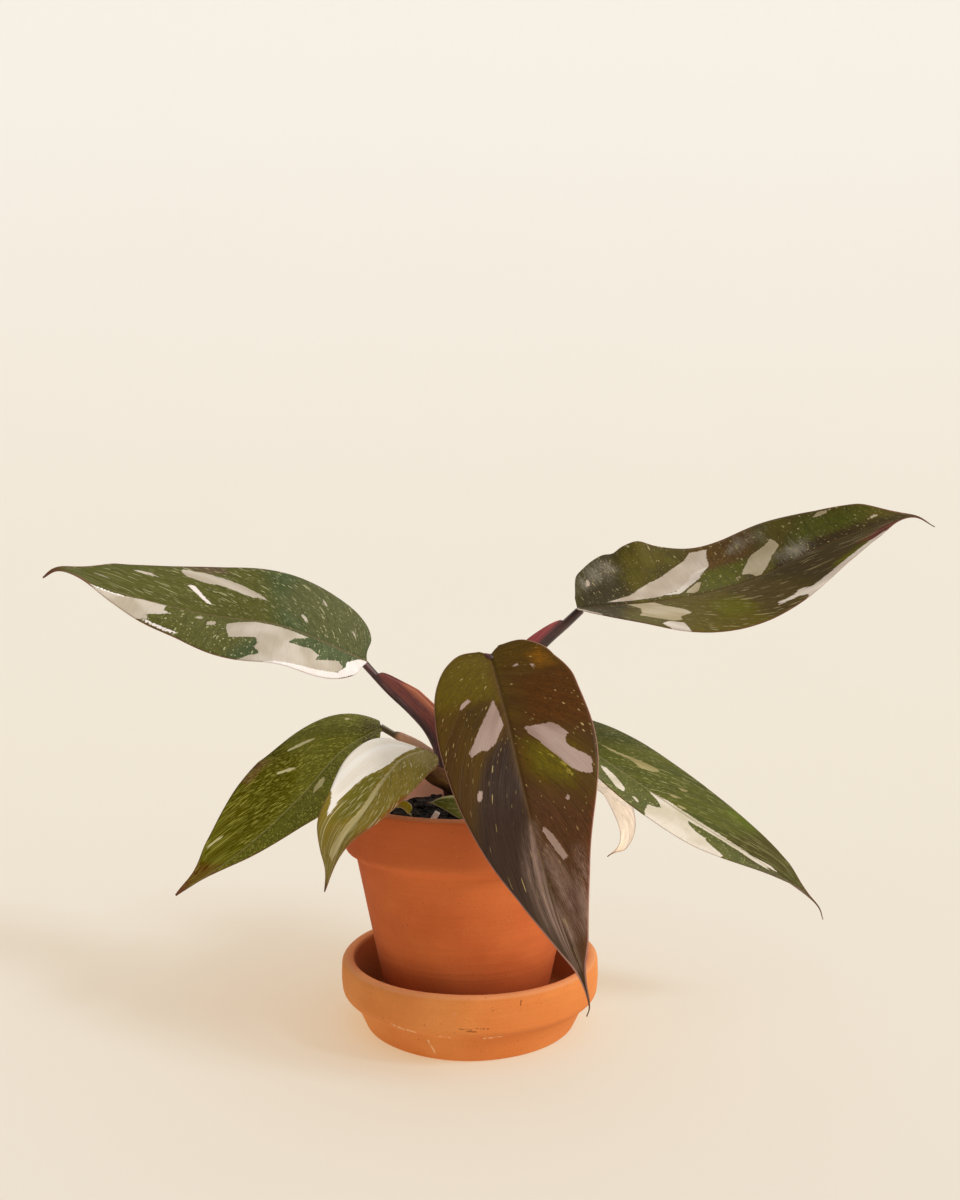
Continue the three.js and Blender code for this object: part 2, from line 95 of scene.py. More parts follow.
class Route:
    """A smooth curve through points, read by the share of its length."""

    def __init__(self, points, steps=400):
        self.places = curve_through(points, np.linspace(0, 1, steps + 1))
        lengths = np.linalg.norm(np.diff(self.places, axis=0), axis=1)
        self.run = np.concatenate([[0], np.cumsum(lengths)])
        self.length = self.run[-1]
        self.ways = np.gradient(self.places, axis=0)

    def at(self, share):
        """The place and the forward direction. Before its start the curve goes on straight."""
        share = np.atleast_1d(share)
        run = np.clip(share, 0, 1) * self.length
        place = np.stack([np.interp(run, self.run, self.places[:, k]) for k in range(3)], 1)
        forward = np.stack([np.interp(run, self.run, self.ways[:, k]) for k in range(3)], 1)
        forward /= np.linalg.norm(forward, axis=1)[:, None]
        return place + forward * (np.minimum(share, 0) * self.length)[:, None], forward


def upright(way, forward):
    """A direction made square to the forward one."""
    way = way - (way * forward).sum(1)[:, None] * forward
    return way / np.linalg.norm(way, axis=1)[:, None]


# Leaf shapes, those of the frame with small changes. Each has its midrib, the way its upper face
# looks at the base, middle and tip, and for each half the width, the fold and curl in degrees, how
# far the lobe reaches back, how slim the half runs out, where the margin waves, how widely and how
# high, and where its edge stands out or in, over what spread and how far.
# sweep is how far a side vein gains on its row from the midrib to the margin, and tail is how
# much the leaf is narrowed where it runs out into its tail.
# The values of the six large leaves weren't chosen by hand. They come from a least-squares fit to
# leaf edges traced in the photograph, rounded, with some changed afterwards. Only tail, sweep and
# edge, and all values of the small leaves, were set one by one.

OUTLINE = [
    (0, 0.15), (0.01, 0.5), (0.07, 0.8), (0.15, 0.95), (0.26, 1), (0.4, 0.95),
    (0.54, 0.8), (0.68, 0.57), (0.8, 0.34), (0.9, 0.14), (1, 0.012),
]
VEIN_START_POWER = 1.6
WIDEST_ROW = 0.4
TAIL = {"from": 0.82, "to": 0.94, "least": 0.28}


def half(width, fold, curl, lobe=0.0, slim=1.0, waves=(), sweep=0.2, edge=()):
    return {"width": width, "fold": fold, "curl": curl, "lobe": lobe, "slim": slim,
            "waves": waves, "sweep": sweep, "edge": edge}


LEAVES = {
    "upper_left": {
        "tail": 0.5,
        "midrib": [(-49, 4, 166.5), (-89, 6, 183), (-128.5, 9.5, 189), (-166.5, 5, 199),
                   (-194.2, 1.2, 209.5), (-200.9, 0, 206)],
        "facing": [(0, -0.38, 0.9), (-0.09, -0.53, 0.83), (0, -0.67, 0.72)],
        "right": half(36, [7, 17, 2], -9, -0.02, 0.7,
                      [(0.18, 0.12, -1.9), (0.42, 0.12, 1), (0.68, 0.12, -0.7)], sweep=0.25),
        "left": half(37, [7, 14, 18], -22, 0, 1.75,
                     [(0.18, 0.12, 6), (0.42, 0.12, 0.5), (0.68, 0.12, -4.5)], sweep=-0.08),
    },
    "upper_right": {
        "tail": 0.8,
        "midrib": [(52, 18, 191.5), (96, 12, 195.7), (129.5, 6, 203.5), (170, -4, 223),
                   (205, -6, 234.4), (216, -5, 229.7)],
        "facing": [(-0.07, -0.52, 0.9), (0.21, -0.66, 0.64), (0.13, -0.79, 0.62)],
        "right": half(38.3, [30, 17, 32], -8, 0, 1.35,
                      [(0.18, 0.12, 3.2), (0.68, 0.12, -3.2)], sweep=0.28,
                      edge=[(0.86, 0.07, 1.3)]),
        "left": half(49, [5, -22, 17], 15, 0.006, 0.98,
                     [(0.18, 0.12, 7), (0.188, 0.035, 2.2), (0.108, 0.022, -2.2),
                      (0.68, 0.12, -2.8)],
                     sweep=-0.1, edge=[(0.07, 0.05, 2.5), (0.86, 0.07, 0.8)]),
    },
    "front": {
        "tail": 0.5,
        "midrib": [(8.8, -45, 172), (15.5, -72.5, 147.5), (22, -91, 119.2), (31, -92, 86.2),
                   (46, -92.5, 41), (45.2, -91, 36.7)],
        "facing": [(-0.05, -0.77, 0.63), (0, -0.96, 0.25), (0.38, -0.92, 0)],
        "right": half(29, [10, 14, 40], -9, 0.016, 1.35, sweep=0.27),
        "left": half(32, [16, -1, 16], -7, 0.024, 1.2, sweep=0.12,
                     edge=[(0.22, 0.03, -0.6), (0.3, 0.03, 0.5), (0.46, 0.07, 1.2),
                           (0.63, 0.06, -1)]),
    },
    "lower_left": {
        "tail": 0.25,
        "midrib": [(-41.8, 6, 135.4), (-60.5, 5, 124.2), (-80, -3, 102.8), (-104, -15, 81.1),
                   (-130.4, -27.4, 64.5)],
        "facing": [(-0.11, -0.22, 0.92), (-0.59, -0.84, 0.19), (-0.36, -0.9, 0.22)],
        "right": half(34.3, [-5, 15, 15], -18, -0.01, 0.85, sweep=0.33),
        "left": half(30.8, [8, 30, 28], -13, -0.012, 2.2, [(0.68, 0.12, -1.4)], sweep=-0.07),
    },
    "low_front_left": {
        "tail": 0.3,
        "midrib": [(-18.7, -42, 131.4), (-29.2, -51.5, 128), (-42, -65, 110.2), (-50, -69, 100),
                   (-58.4, -67, 77.4)],
        "facing": [(-0.1, -0.48, 0.88), (-0.38, -0.75, 0.49), (-0.74, -0.61, 0.21)],
        "right": half(21.8, [-3, 16, 4], -12, -0.03, 0.8,
                      [(0.18, 0.12, -1), (0.42, 0.12, -1), (0.68, 0.12, 1.8)], sweep=0.5),
        "left": half(18, [10, 23, 28], -16, -0.006, 1.65, sweep=0.2),
    },
    "lower_right": {
        "tail": 0.8,
        "midrib": [(45.6, 10, 131), (77, 7, 110.3), (106, 7.5, 90.5), (143.5, 6, 67.1),
                   (165, 5.5, 50.2), (167.3, 5, 44)],
        "facing": [(0.07, -0.4, 0.92), (0.12, -0.59, 0.76), (0.14, -0.5, 0.85)],
        "right": half(34, [26, 27, 55], 0, 0.03, 0.73, sweep=-0.12, edge=[(0.84, 0.07, 0.7)]),
        "left": half(29, [8, 7, 7], -19, 0.035, 0.81, sweep=0.35),
    },
    "dried": {
        "tail": 0.6,
        "midrib": [(57, 4, 108.5), (64, 4, 105.5), (70, 4, 97.5), (73, 3.5, 88), (71.3, 3, 80),
                   (64.5, 2, 74.6)],
        "facing": [(0.2, -0.6, 0.8), (0.3, -0.95, 0.1), (0.2, -1, -0.3)],
        "right": half(7, [25, 30, 40], 20, slim=0.8),
        "left": half(7, [25, 30, 40], 20, slim=0.8),
    },
    "soil_leaf": {
        "tail": 0.4,
        "midrib": [(6, -29, 101.5), (-3, -30, 104.5), (-11, -30.5, 106.5), (-19, -30, 106.3)],
        "facing": [(0, -0.6, 0.8), (0, -0.7, 0.7), (0, -0.7, 0.7)],
        "right": half(5, [10, 15, 10], 0),
        "left": half(7, [0, 5, 5], 0),
    },
    "sprout": {
        "tail": 0.4,
        "midrib": [(-26, -36, 103), (-29, -36.5, 105.5), (-33, -37, 106), (-37, -36, 104.5)],
        "facing": [(0, -0.5, 0.8), (0, -0.5, 0.8), (0, -0.5, 0.8)],
        "right": half(3, [30, 35, 30], 0),
        "left": half(3, [30, 35, 30], 0),
    },
}
SMALL_LEAVES = ("dried", "soil_leaf", "sprout")


# Stalks, those of the frame with small changes: the route, the radius at its base, middle and
# end, the way its channelled side looks, and the sheath: where it starts and stops and how high
# its wings stand.

STALKS = {
    "upper_left": {
        "route": [(-6, -1, 102), (-10.5, -2, 118), (-14.5, -1, 128), (-19.8, 0, 136.3),
                  (-27.6, 1, 144.2), (-38.4, 3, 153.7), (-50, 4, 166.2)],
        "radius": [6, 3, 2.4], "inner": (0.7, -0.2, 0.7), "wing": (0.1, 0.9, 8),
    },
    "upper_right": {
        "route": [(-1, 2, 102), (3, 3, 120), (11, 5, 145), (22, 8, 162), (34.7, 11, 176),
                  (45.2, 15, 185), (52.5, 18, 191.5)],
        "radius": [4, 3.8, 3.3], "inner": (-0.7, 0, 0.7), "wing": (0.2, 0.9, 6),
    },
    "front": {
        "route": [(0, -4, 102), (3, -16, 132), (7, -33, 158), (9, -45.5, 172.5)],
        "radius": [4, 3, 2.4], "inner": (0, 0.7, 0.7), "wing": (0.2, 0.7, 3),
    },
    "low_front_left": {
        "route": [(-3, -3, 103), (-8.5, -10, 112), (-15.3, -20, 117.2), (-19.5, -31, 123),
                  (-18.5, -42.5, 130.7)],
        "radius": [5.5, 4.8, 2], "inner": (0.5, 0.3, 0.8), "wing": (0.1, 0.75, 2.6),
    },
    "lower_left": {
        "route": [(-3, 2, 103), (-12, 3, 115.5), (-25, 5, 125), (-35, 6, 131.5),
                  (-42.5, 6, 136)],
        "radius": [3.4, 2.3, 2.2], "inner": (0.4, 0, 0.9), "wing": (0.2, 0.86, 3),
    },
    "lower_right": {
        "route": [(2, 2, 102), (14, 4, 114), (30, 8, 126), (46, 10, 131.5)],
        "radius": [3.4, 2.6, 2], "inner": (-0.4, 0, 0.9), "wing": (0.2, 0.7, 2),
    },
    "dried": {
        "route": [(2, -3, 100), (20, -2, 103.5), (40, 1, 107.5), (57.5, 4, 108.7)],
        "radius": [2, 1.5, 1.1], "inner": (0, 0, 1), "wing": None,
    },
    "soil_leaf": {
        "route": [(11, -26, 88), (10.5, -27, 96), (6.5, -29, 101.3)],
        "radius": [1.3, 1.1, 1], "inner": (0, -1, 0.2), "wing": None,
    },
    "sprout": {
        "route": [(-24, -36, 88), (-24.5, -36, 96), (-26, -36, 102.5)],
        "radius": [1.1, 0.9, 0.8], "inner": (-1, 0, 0.2), "wing": None,
    },
}
CUT_STALK = {
    "route": [(-17.5, -39, 88), (-16.8, -39, 97), (-13.2, -38.5, 103.6)],
    "radius": [2.2, 2, 1.9], "inner": (1, 0, 0.2), "wing": None,
}


# Materials

def rgb(red, green, blue):
    """A colour from its screen values, as the shader's own light values."""
    parts = [value / 255 for value in (red, green, blue)]
    light = [p / 12.92 if p <= 0.04045 else ((p + 0.055) / 1.055) ** 2.4 for p in parts]
    return (*light, 1.0)


class Finish:
    """A material, with the few kinds of node that the finishes here are made of."""

    def __init__(self, name):
        self.material = bpy.data.materials.new(name)
        self.material.use_nodes = True
        self.nodes = self.material.node_tree.nodes
        self.links = self.material.node_tree.links
        self.shader = self.nodes["Principled BSDF"]

    def feed(self, socket, value):
        if isinstance(value, bpy.types.NodeSocket):
            self.links.new(value, socket)
        else:
            socket.default_value = value

    def node(self, kind, feeds, **settings):
        node = self.nodes.new("ShaderNode" + kind)
        for key, value in settings.items():
            setattr(node, key, value)
        for key, value in feeds.items():
            self.feed(node.inputs[key], value)
        return node

    def set(self, **feeds):
        for key, value in feeds.items():
            self.feed(self.shader.inputs[key.replace("_", " ").title()], value)

    def measure(self, name):
        return self.node("Attribute", {}, attribute_name=name).outputs["Fac"]

    def direction(self, name):
        return self.node("Attribute", {}, attribute_name=name).outputs["Vector"]

    def place(self):
        return self.node("TexCoord", {}).outputs["Object"]

    def maths(self, operation, a, b=0.0, c=0.0):
        return self.node("Math", {0: a, 1: b, 2: c}, operation=operation).outputs[0]

    def times(self, a, b):
        return self.maths("MULTIPLY", a, b)

    def plus(self, a, b):
        return self.maths("ADD", a, b)

    def ramp(self, value, slope, start):
        """The value times a slope, with a start added."""
        return self.maths("MULTIPLY_ADD", value, slope, start)

    def split(self, vector):
        return self.node("SeparateXYZ", {0: vector}).outputs

    def stretch(self, vector, by):
        feeds = {0: vector, 1: by}
        return self.node("VectorMath", feeds, operation="MULTIPLY").outputs[0]

    def grain(self, vector, by, detail=2.0, rough=0.5, twist=0.0):
        """Noise, with by as how many of its grains go to one unit along each axis."""
        feeds = {"Vector": self.stretch(vector, by), "Scale": 1.0, "Detail": detail,
                 "Roughness": rough, "Distortion": twist}
        return self.node("TexNoise", feeds).outputs[0]

    def flecks(self, vector, by, share, size):
        """Scattered flecks, one to a grid cell at most: how many cells have one, and their size."""
        feeds = {"Vector": self.stretch(vector, by), "Scale": 1.0, "Randomness": 1.0}
        cells = self.node("TexVoronoi", feeds, voronoi_dimensions="2D")
        chance, spread, _ = self.node("SeparateColor", {0: cells.outputs["Color"]}).outputs
        radius = self.ramp(spread, size, size * 0.4)
        edge = self.maths("SUBTRACT", radius, cells.outputs["Distance"])
        chosen = self.maths("LESS_THAN", chance, share)
        return self.times(self.step(edge, 0.0, 0.06), chosen)

    def step(self, value, low, high):
        """0 below low, 1 above high and smooth between. The other way round if low is higher."""
        feeds = {"Value": value, "From Min": min(low, high), "From Max": max(low, high),
                 "To Min": float(low > high), "To Max": float(low <= high)}
        return self.node("MapRange", feeds, interpolation_type="SMOOTHSTEP").outputs[0]

    def mix(self, share, a, b, blend="MIX"):
        node = self.node("Mix", {0: share, 6: a, 7: b}, data_type="RGBA", blend_type=blend)
        return node.outputs[2]

    def over(self, colour, share, tone, strength):
        """A tone laid over a colour, as strongly as given where its share is 1."""
        return self.mix(self.times(share, strength), colour, tone)

    def shade(self, colour, value, strength=1.0):
        """A colour made darker or lighter, and paler or stronger, by values round 1."""
        feeds = {"Value": value, "Saturation": strength, "Color": colour}
        return self.node("HueSaturation", feeds).outputs[0]

    def shine(self, amount):
        self.shader.inputs["Specular IOR Level"].default_value = amount

    def bump(self, height, depth_mm, before=None):
        feeds = {"Strength": 1.0, "Distance": depth_mm * MM, "Height": height}
        if before is not None:
            feeds["Normal"] = before
        return self.node("Bump", feeds).outputs[0]


# What each leaf shows. tissue is its two tones. A patch is a tone, how softly it ends in
# millimetres, and its outlines. A mark is crisp and pale: a bright tone, a deep one and its
# outlines. dashes are a tone, how many there are and how many long strips. sheen is the tone of a
# gleam and its outlines. An outline is given in row and side, was read off, and reaches past 1
# where the margin cuts it.

TIP_TONE = rgb(104, 64, 42)


def between(row_from, row_to, side_from, side_to):
    """An outline from one row to another and from one side to another."""
    return [(row_from, side_from), (row_from, side_to), (row_to, side_to), (row_to, side_from)]


def leaf_look(tissue, dashes, midrib, margin, under, ragged=1.2, patches=(), marks=(), sheen=None,
              glow=0.0, gloss=(0.42, 0.14)):
    """ragged is how far a patch's edge wanders, gloss the roughness and the shine, and glow painted
    light.
    """
    return {"tissue": tissue, "dashes": dashes, "midrib": midrib, "margin": margin,
            "under": under, "ragged": ragged, "patches": patches, "marks": marks,
            "sheen": sheen, "glow": glow, "gloss": gloss}


LOOKS = {
    "upper_left": leaf_look(
        ragged=12,
        tissue=(rgb(90, 100, 70), rgb(68, 78, 50)),
        patches=[
            (rgb(90, 92, 62), 9, [[(0.0, 0.0), (0.02, 1.1), (0.42, 1.1), (0.46, 0.4), (0.36, 0.02)]]),
            (rgb(92, 92, 54), 10, [[(0.48, -1.1), (0.46, 0), (0.5, 1.1), (1, 1.1), (1, -1.1)]]),
            (rgb(104, 88, 74), 3, [[(0.57, 0.88), (0.6, 1.1), (0.67, 1.1), (0.66, 0.95),
                                    (0.62, 0.87)]]),
        ],
        marks=[
            (rgb(208, 198, 184), rgb(188, 176, 158), [
                [(0.25, -0.96), (0.2, -0.87), (0.165, -0.75), (0.16, -0.62), (0.19, -0.42),
                 (0.235, -0.5), (0.275, -0.62), (0.27, -0.45), (0.31, -0.35), (0.33, -0.38),
                 (0.38, -0.4), (0.375, -0.25), (0.345, -0.08), (0.44, -0.06), (0.52, -0.06),
                 (0.55, -0.15), (0.565, -0.28), (0.55, -0.4), (0.515, -0.6), (0.46, -0.48),
                 (0.44, -0.6), (0.44, -0.7), (0.42, -0.78), (0.415, -0.85), (0.43, -0.88),
                 (0.455, -1.1), (0.3, -1.1)],
                [(0.72, -1.1), (0.695, -0.85), (0.715, -0.77), (0.7, -0.6), (0.69, -0.45),
                 (0.715, -0.38), (0.73, -0.2), (0.745, 0), (0.8, 0), (0.8, -0.15), (0.82, -0.35),
                 (0.835, -0.6), (0.845, -1.1)],
                [(0.49, 0.37), (0.5, 0.45), (0.55, 0.65), (0.62, 0.85), (0.66, 0.93),
                 (0.67, 0.9), (0.665, 0.78), (0.63, 0.65), (0.59, 0.6), (0.55, 0.47),
                 (0.525, 0.42), (0.51, 0.42)],
                [(0.585, -0.4), (0.6, -0.43), (0.61, -0.33), (0.6, -0.26), (0.59, -0.3)],
                [(0.63, -0.3), (0.64, -0.32), (0.65, -0.2), (0.64, -0.18)],
                [(0.375, 0.18), (0.38, 0.27), (0.4, 0.31), (0.4, 0.29), (0.385, 0.21)],
                [(0.18, 0.43), (0.2, 0.52), (0.22, 0.55), (0.21, 0.49), (0.188, 0.435)],
                [(0.34, 0.63), (0.35, 0.72), (0.365, 0.77), (0.357, 0.7)],
                [(0.725, 0.7), (0.74, 0.8), (0.78, 0.87), (0.772, 0.8), (0.745, 0.74)],
                [(0.855, 0.47), (0.87, 0.6), (0.885, 0.66), (0.872, 0.55)],
            ]),
            (rgb(252, 244, 242), rgb(244, 234, 230), [
                [(-0.05, -1.1), (0.44, -1.1), (0.36, -0.95), (0.28, -0.86), (0.17, -0.8),
                 (0.15, -0.6), (0.16, -0.42), (0.12, -0.2), (0.09, -0.1), (0.05, 0),
                 (-0.05, 0)],
                [(0.8, -0.35), (0.83, -0.6), (0.84, -0.9), (0.86, -0.9), (0.85, -0.6),
                 (0.82, -0.3)],
                [(0.61, -0.9), (0.64, -0.97), (0.7, -0.95), (0.7, -0.9), (0.65, -0.9)],
                [(0.63, 0.2), (0.645, 0.38), (0.655, 0.58), (0.672, 0.58), (0.66, 0.42),
                 (0.645, 0.24)],
            ]),
        ],
        dashes=(rgb(172, 170, 128), 0.26, 0.06),
        midrib=rgb(126, 108, 78), margin=rgb(140, 84, 70), under=rgb(118, 92, 74),
    ),
    "upper_right": leaf_look(
        ragged=16,
        tissue=(rgb(98, 91, 48), rgb(76, 67, 37)),
        patches=[
            (rgb(64, 57, 38), 9, [[(0, -1.1), (0, 1.1), (0.26, 1.1), (0.3, 0), (0.26, -1.1)]]),
            (rgb(98, 75, 45), 7, [[(0.46, -1.1), (0.46, -0.5), (0.62, -0.5), (0.6, -1.1)]]),
            (rgb(92, 92, 34), 5, [between(0.5, 0.6, -0.5, -0.05)]),
            (rgb(80, 82, 38), 8, [between(0.7, 0.85, -0.9, -0.3)]),
            (rgb(60, 48, 30), 5, [[(0.68, -0.3), (0.68, 0.12), (1, 0.2), (1, -0.4)]]),
            (rgb(96, 86, 44), 6, [between(0.4, 0.57, 0, 1.1)]),
            (rgb(98, 94, 32), 4, [between(0.5, 0.58, 0.3, 0.7)]),
            (rgb(86, 73, 47), 9, [between(0.57, 0.66, 0, 1.1)]),
            (rgb(72, 62, 42), 9, [between(0.66, 0.95, 0.05, 1.1)]),
            (rgb(112, 62, 64), 3, [between(0.8, 0.88, 0.7, 0.95)]),
            (rgb(102, 100, 26), 3, [between(0.72, 0.8, 0.84, 0.96)]),
        ],
        marks=[
            (rgb(200, 186, 158), rgb(178, 162, 128), [
                [(0.6, -0.3), (0.605, -0.45), (0.61, -0.52), (0.64, -0.6), (0.65, -0.68),
                 (0.66, -0.62), (0.675, -0.5), (0.665, -0.35), (0.66, -0.15), (0.655, -0.03),
                 (0.64, -0.05), (0.62, -0.17), (0.6, -0.2)],
                [(0.465, -0.1), (0.475, -0.2), (0.49, -0.3), (0.5, -0.3), (0.5, -0.1),
                 (0.49, -0.06)],
                [(0.28, 0), (0.3, 0.1), (0.33, 0.3), (0.33, 0.5), (0.32, 0.65), (0.35, 0.68),
                 (0.4, 0.73), (0.42, 0.7), (0.42, 0.6), (0.45, 0.5), (0.44, 0.38), (0.4, 0.2),
                 (0.37, 0)],
                [(0.73, -0.85), (0.74, -0.97), (0.77, -0.95), (0.755, -0.88)],
                [(0.86, -0.5), (0.865, -0.7), (0.875, -0.7), (0.87, -0.55)],
            ]),
            (rgb(214, 200, 184), rgb(196, 180, 162), [
                [(0.21, -0.08), (0.3, -0.18), (0.35, -0.35), (0.4, -0.5), (0.45, -0.78),
                 (0.46, -0.92), (0.5, -0.93), (0.5, -0.8), (0.51, -0.6), (0.49, -0.4),
                 (0.47, -0.25), (0.44, -0.18), (0.4, -0.1), (0.3, -0.07)],
                [(0.13, -0.55), (0.135, -0.7), (0.15, -0.7), (0.15, -0.55)],
                [(-0.05, 0.55), (-0.05, 1.1), (0.2, 1.1), (0.2, 0.93), (0.1, 0.8)],
            ]),
            (rgb(234, 224, 212), rgb(208, 194, 182), [
                [(0.4, -0.12), (0.44, -0.17), (0.465, -0.35), (0.47, -0.5), (0.5, -0.6),
                 (0.51, -0.58), (0.49, -0.48), (0.495, -0.4), (0.48, -0.3), (0.46, -0.15),
                 (0.45, -0.1)],
                [(0.37, 0.87), (0.39, 0.75), (0.42, 0.78), (0.425, 1.1), (0.4, 1.1)],
                [(0.59, 0.82), (0.6, 0.78), (0.63, 0.82), (0.64, 0.78), (0.66, 0.88),
                 (0.7, 0.9), (0.75, 0.9), (0.8, 0.88), (0.84, 0.92), (0.85, 1.1),
                 (0.6, 1.1), (0.64, 0.97), (0.63, 0.88)],
            ]),
        ],
        dashes=(rgb(168, 154, 112), 0.14, 0.04),
        sheen=(rgb(150, 142, 124), [
            [(0.08, -0.55), (0.12, -0.9), (0.2, -0.9), (0.27, -0.75), (0.22, -0.55)],
            [(0.55, -0.75), (0.57, -0.9), (0.63, -0.9), (0.63, -0.72)],
            [(0.66, -0.35), (0.7, -0.1), (0.76, -0.1), (0.74, -0.4)],
        ]),
        midrib=rgb(104, 80, 54), margin=rgb(140, 84, 70), under=rgb(122, 88, 76),
    ),
    "front": leaf_look(
        ragged=6,
        tissue=(rgb(88, 68, 38), rgb(72, 52, 32)),
        patches=[
            (rgb(86, 64, 22), 8, [between(0, 0.18, -1.1, 0)]),
            (rgb(126, 84, 26), 5, [between(0.17, 0.25, -0.9, -0.65)]),
            (rgb(84, 56, 34), 10, [between(0.26, 0.43, -1.1, -0.25)]),
            (rgb(96, 84, 24), 6, [[(0.47, -0.7), (0.47, -0.15), (0.54, -0.2), (0.55, -0.7)]]),
            (rgb(82, 57, 41), 12, [between(0.58, 0.72, -1.1, 0)]),
            (rgb(80, 56, 43), 11, [between(0.72, 1, -1.1, 0)]),
            (rgb(98, 83, 38), 9, [between(0.0, 0.33, 0.05, 1.1)]),
            (rgb(74, 57, 31), 6, [between(0.33, 0.42, 0.2, 0.6)]),
            # Painted shade: a dark wedge of shadow over the lower right half.
            (rgb(58, 44, 36), 5, [[(0.46, 0.02), (0.46, 0.22), (0.5, 0.5), (0.54, 0.75),
                                   (0.6, 1.1), (0.76, 1.1), (0.74, 0.02)]]),
            (rgb(54, 42, 30), 8, [between(0.74, 1, 0, 1.1)]),
            (rgb(96, 62, 46), 2.5, [[(0.56, -1.1), (0.56, -0.96), (0.9, -0.9), (0.9, -1.1)]]),
        ],
        marks=[
            (rgb(178, 154, 144), rgb(156, 130, 118), [
                [(0.42, -0.5), (0.43, -0.6), (0.445, -0.68), (0.455, -0.63), (0.47, -0.65),
                 (0.49, -0.92), (0.52, -0.93), (0.52, -0.75), (0.51, -0.6), (0.48, -0.4),
                 (0.45, -0.22), (0.43, -0.17), (0.425, -0.35)],
                [(0.65, -0.2), (0.655, -0.35), (0.67, -0.47), (0.685, -0.6), (0.695, -0.5),
                 (0.685, -0.35), (0.665, -0.2), (0.66, -0.16)],
                [(0.215, -0.6), (0.225, -0.62), (0.24, -0.61), (0.235, -0.58), (0.225, -0.57)],
                [(0.19, -0.42), (0.2, -0.42), (0.205, -0.33), (0.195, -0.33)],
                [(0.57, -0.65), (0.58, -0.65), (0.58, -0.6), (0.57, -0.6)],
                [(0.32, 0.13), (0.36, 0.1), (0.42, 0.07), (0.44, 0.15), (0.46, 0.25),
                 (0.465, 0.38), (0.46, 0.45), (0.465, 0.62), (0.455, 0.62), (0.43, 0.5),
                 (0.4, 0.38), (0.36, 0.23)],
                [(0.305, 0.5), (0.315, 0.45), (0.33, 0.55), (0.34, 0.63), (0.325, 0.62)],
                [(0.527, 0.63), (0.535, 0.6), (0.545, 0.68), (0.54, 0.72), (0.53, 0.7)],
            ]),
            (rgb(158, 144, 44), rgb(140, 122, 40), [
                [(0.492, -0.4), (0.497, -0.48), (0.502, -0.48), (0.499, -0.4)],
                [(0.505, -0.54), (0.511, -0.64), (0.517, -0.64), (0.513, -0.55)],
                [(0.519, -0.62), (0.525, -0.7), (0.531, -0.69), (0.526, -0.61)],
                [(0.488, -0.3), (0.492, -0.35), (0.495, -0.35), (0.493, -0.3)],
            ]),
        ],
        dashes=(rgb(182, 160, 104), 0.036, 0),
        sheen=(rgb(172, 142, 128), [
            [(0.66, 0.05), (0.7, 0.45), (0.78, 0.7), (0.9, 0.4), (0.88, 0.0)],
            [(0.7, -0.15), (0.74, -0.5), (0.84, -0.6), (0.86, -0.2)],
            [(0.66, -0.8), (0.68, -1.1), (0.8, -1.1), (0.81, -0.8)],
        ]),
        gloss=(0.36, 0.14),
        midrib=rgb(92, 68, 36), margin=rgb(196, 146, 132), under=rgb(132, 72, 60),
    ),
    "lower_left": leaf_look(
        ragged=5,
        tissue=(rgb(112, 112, 58), rgb(96, 96, 50)),
        patches=[
            (rgb(66, 62, 26), 8, [[(0, -1.1), (0, 1.1), (0.2, 1.1), (0.24, 0), (0.22, -1.1)]]),
            (rgb(82, 78, 26), 9, [[(0.46, 0.45), (0.43, 1.1), (1, 1.1), (1, 0.05), (0.6, 0.1)]]),
            (rgb(86, 58, 36), 3, [[(0.86, -1.1), (0.88, 1.1), (1, 1.1), (1, -1.1)]]),
            (rgb(110, 88, 64), 3, [between(0.5, 0.6, 0.85, 1.1)]),
        ],
        marks=[
            (rgb(208, 200, 154), rgb(184, 174, 120), [
                [(0.47, -0.3), (0.49, -0.38), (0.53, -0.33), (0.52, -0.2), (0.49, -0.15),
                 (0.47, -0.2)],
                [(0.485, 0.4), (0.5, 0.42), (0.54, 0.58), (0.53, 0.6), (0.5, 0.5)],
                [(0.375, 0.58), (0.385, 0.57), (0.42, 0.66), (0.45, 0.76), (0.44, 0.78),
                 (0.4, 0.68)],
                [(0.25, 0.72), (0.28, 0.72), (0.275, 0.8)],
                [(0.77, 0.7), (0.785, 0.7), (0.835, 0.9), (0.82, 0.91), (0.79, 0.8)],
            ]),
        ],
        dashes=(rgb(166, 162, 72), 1.2, 0.03),
        gloss=(0.5, 0.05),
        midrib=rgb(150, 144, 96), margin=rgb(124, 80, 60), under=rgb(122, 98, 76),
    ),
    "low_front_left": leaf_look(
        ragged=8,
        tissue=(rgb(140, 126, 76), rgb(120, 106, 58)),
        patches=[
            (rgb(108, 102, 54), 3, [[(0.45, 0.08), (0.48, 0.3), (0.58, 0.6), (0.72, 0.66),
                                   (0.7, 0.1)]]),
            (rgb(134, 96, 62), 2, [[(0.5, -1.1), (0.5, -0.9), (0.75, -0.85), (0.75, -1.1)]]),
        ],
        marks=[
            (rgb(188, 174, 128), rgb(168, 154, 104), [
                [(0.45, 0.03), (0.55, 0.08), (0.7, 0.12), (0.8, 0.3), (0.85, 0.5), (0.88, 0.3),
                 (0.85, 0), (0.8, -0.1), (0.72, -0.4), (0.68, -0.1), (0.65, 0)],
            ]),
            (rgb(246, 240, 232), rgb(236, 228, 214), [
                [(-0.05, 1.1), (0.03, 0.8), (0.1, 0.35), (0.15, 0.2), (0.22, 0.14), (0.3, 0.1),
                 (0.4, 0.09), (0.45, 0.2), (0.5, 0.4), (0.58, 0.6), (0.63, 0.7), (0.69, 0.74),
                 (0.7, 0.8), (0.66, 0.85), (0.6, 0.95), (0.58, 1.1)],
            ]),
        ],
        dashes=(rgb(186, 176, 132), 0.5, 0.04),
        glow=0.13,
        midrib=rgb(178, 168, 124), margin=rgb(140, 100, 70), under=rgb(140, 112, 88),
    ),
    "lower_right": leaf_look(
        ragged=10,
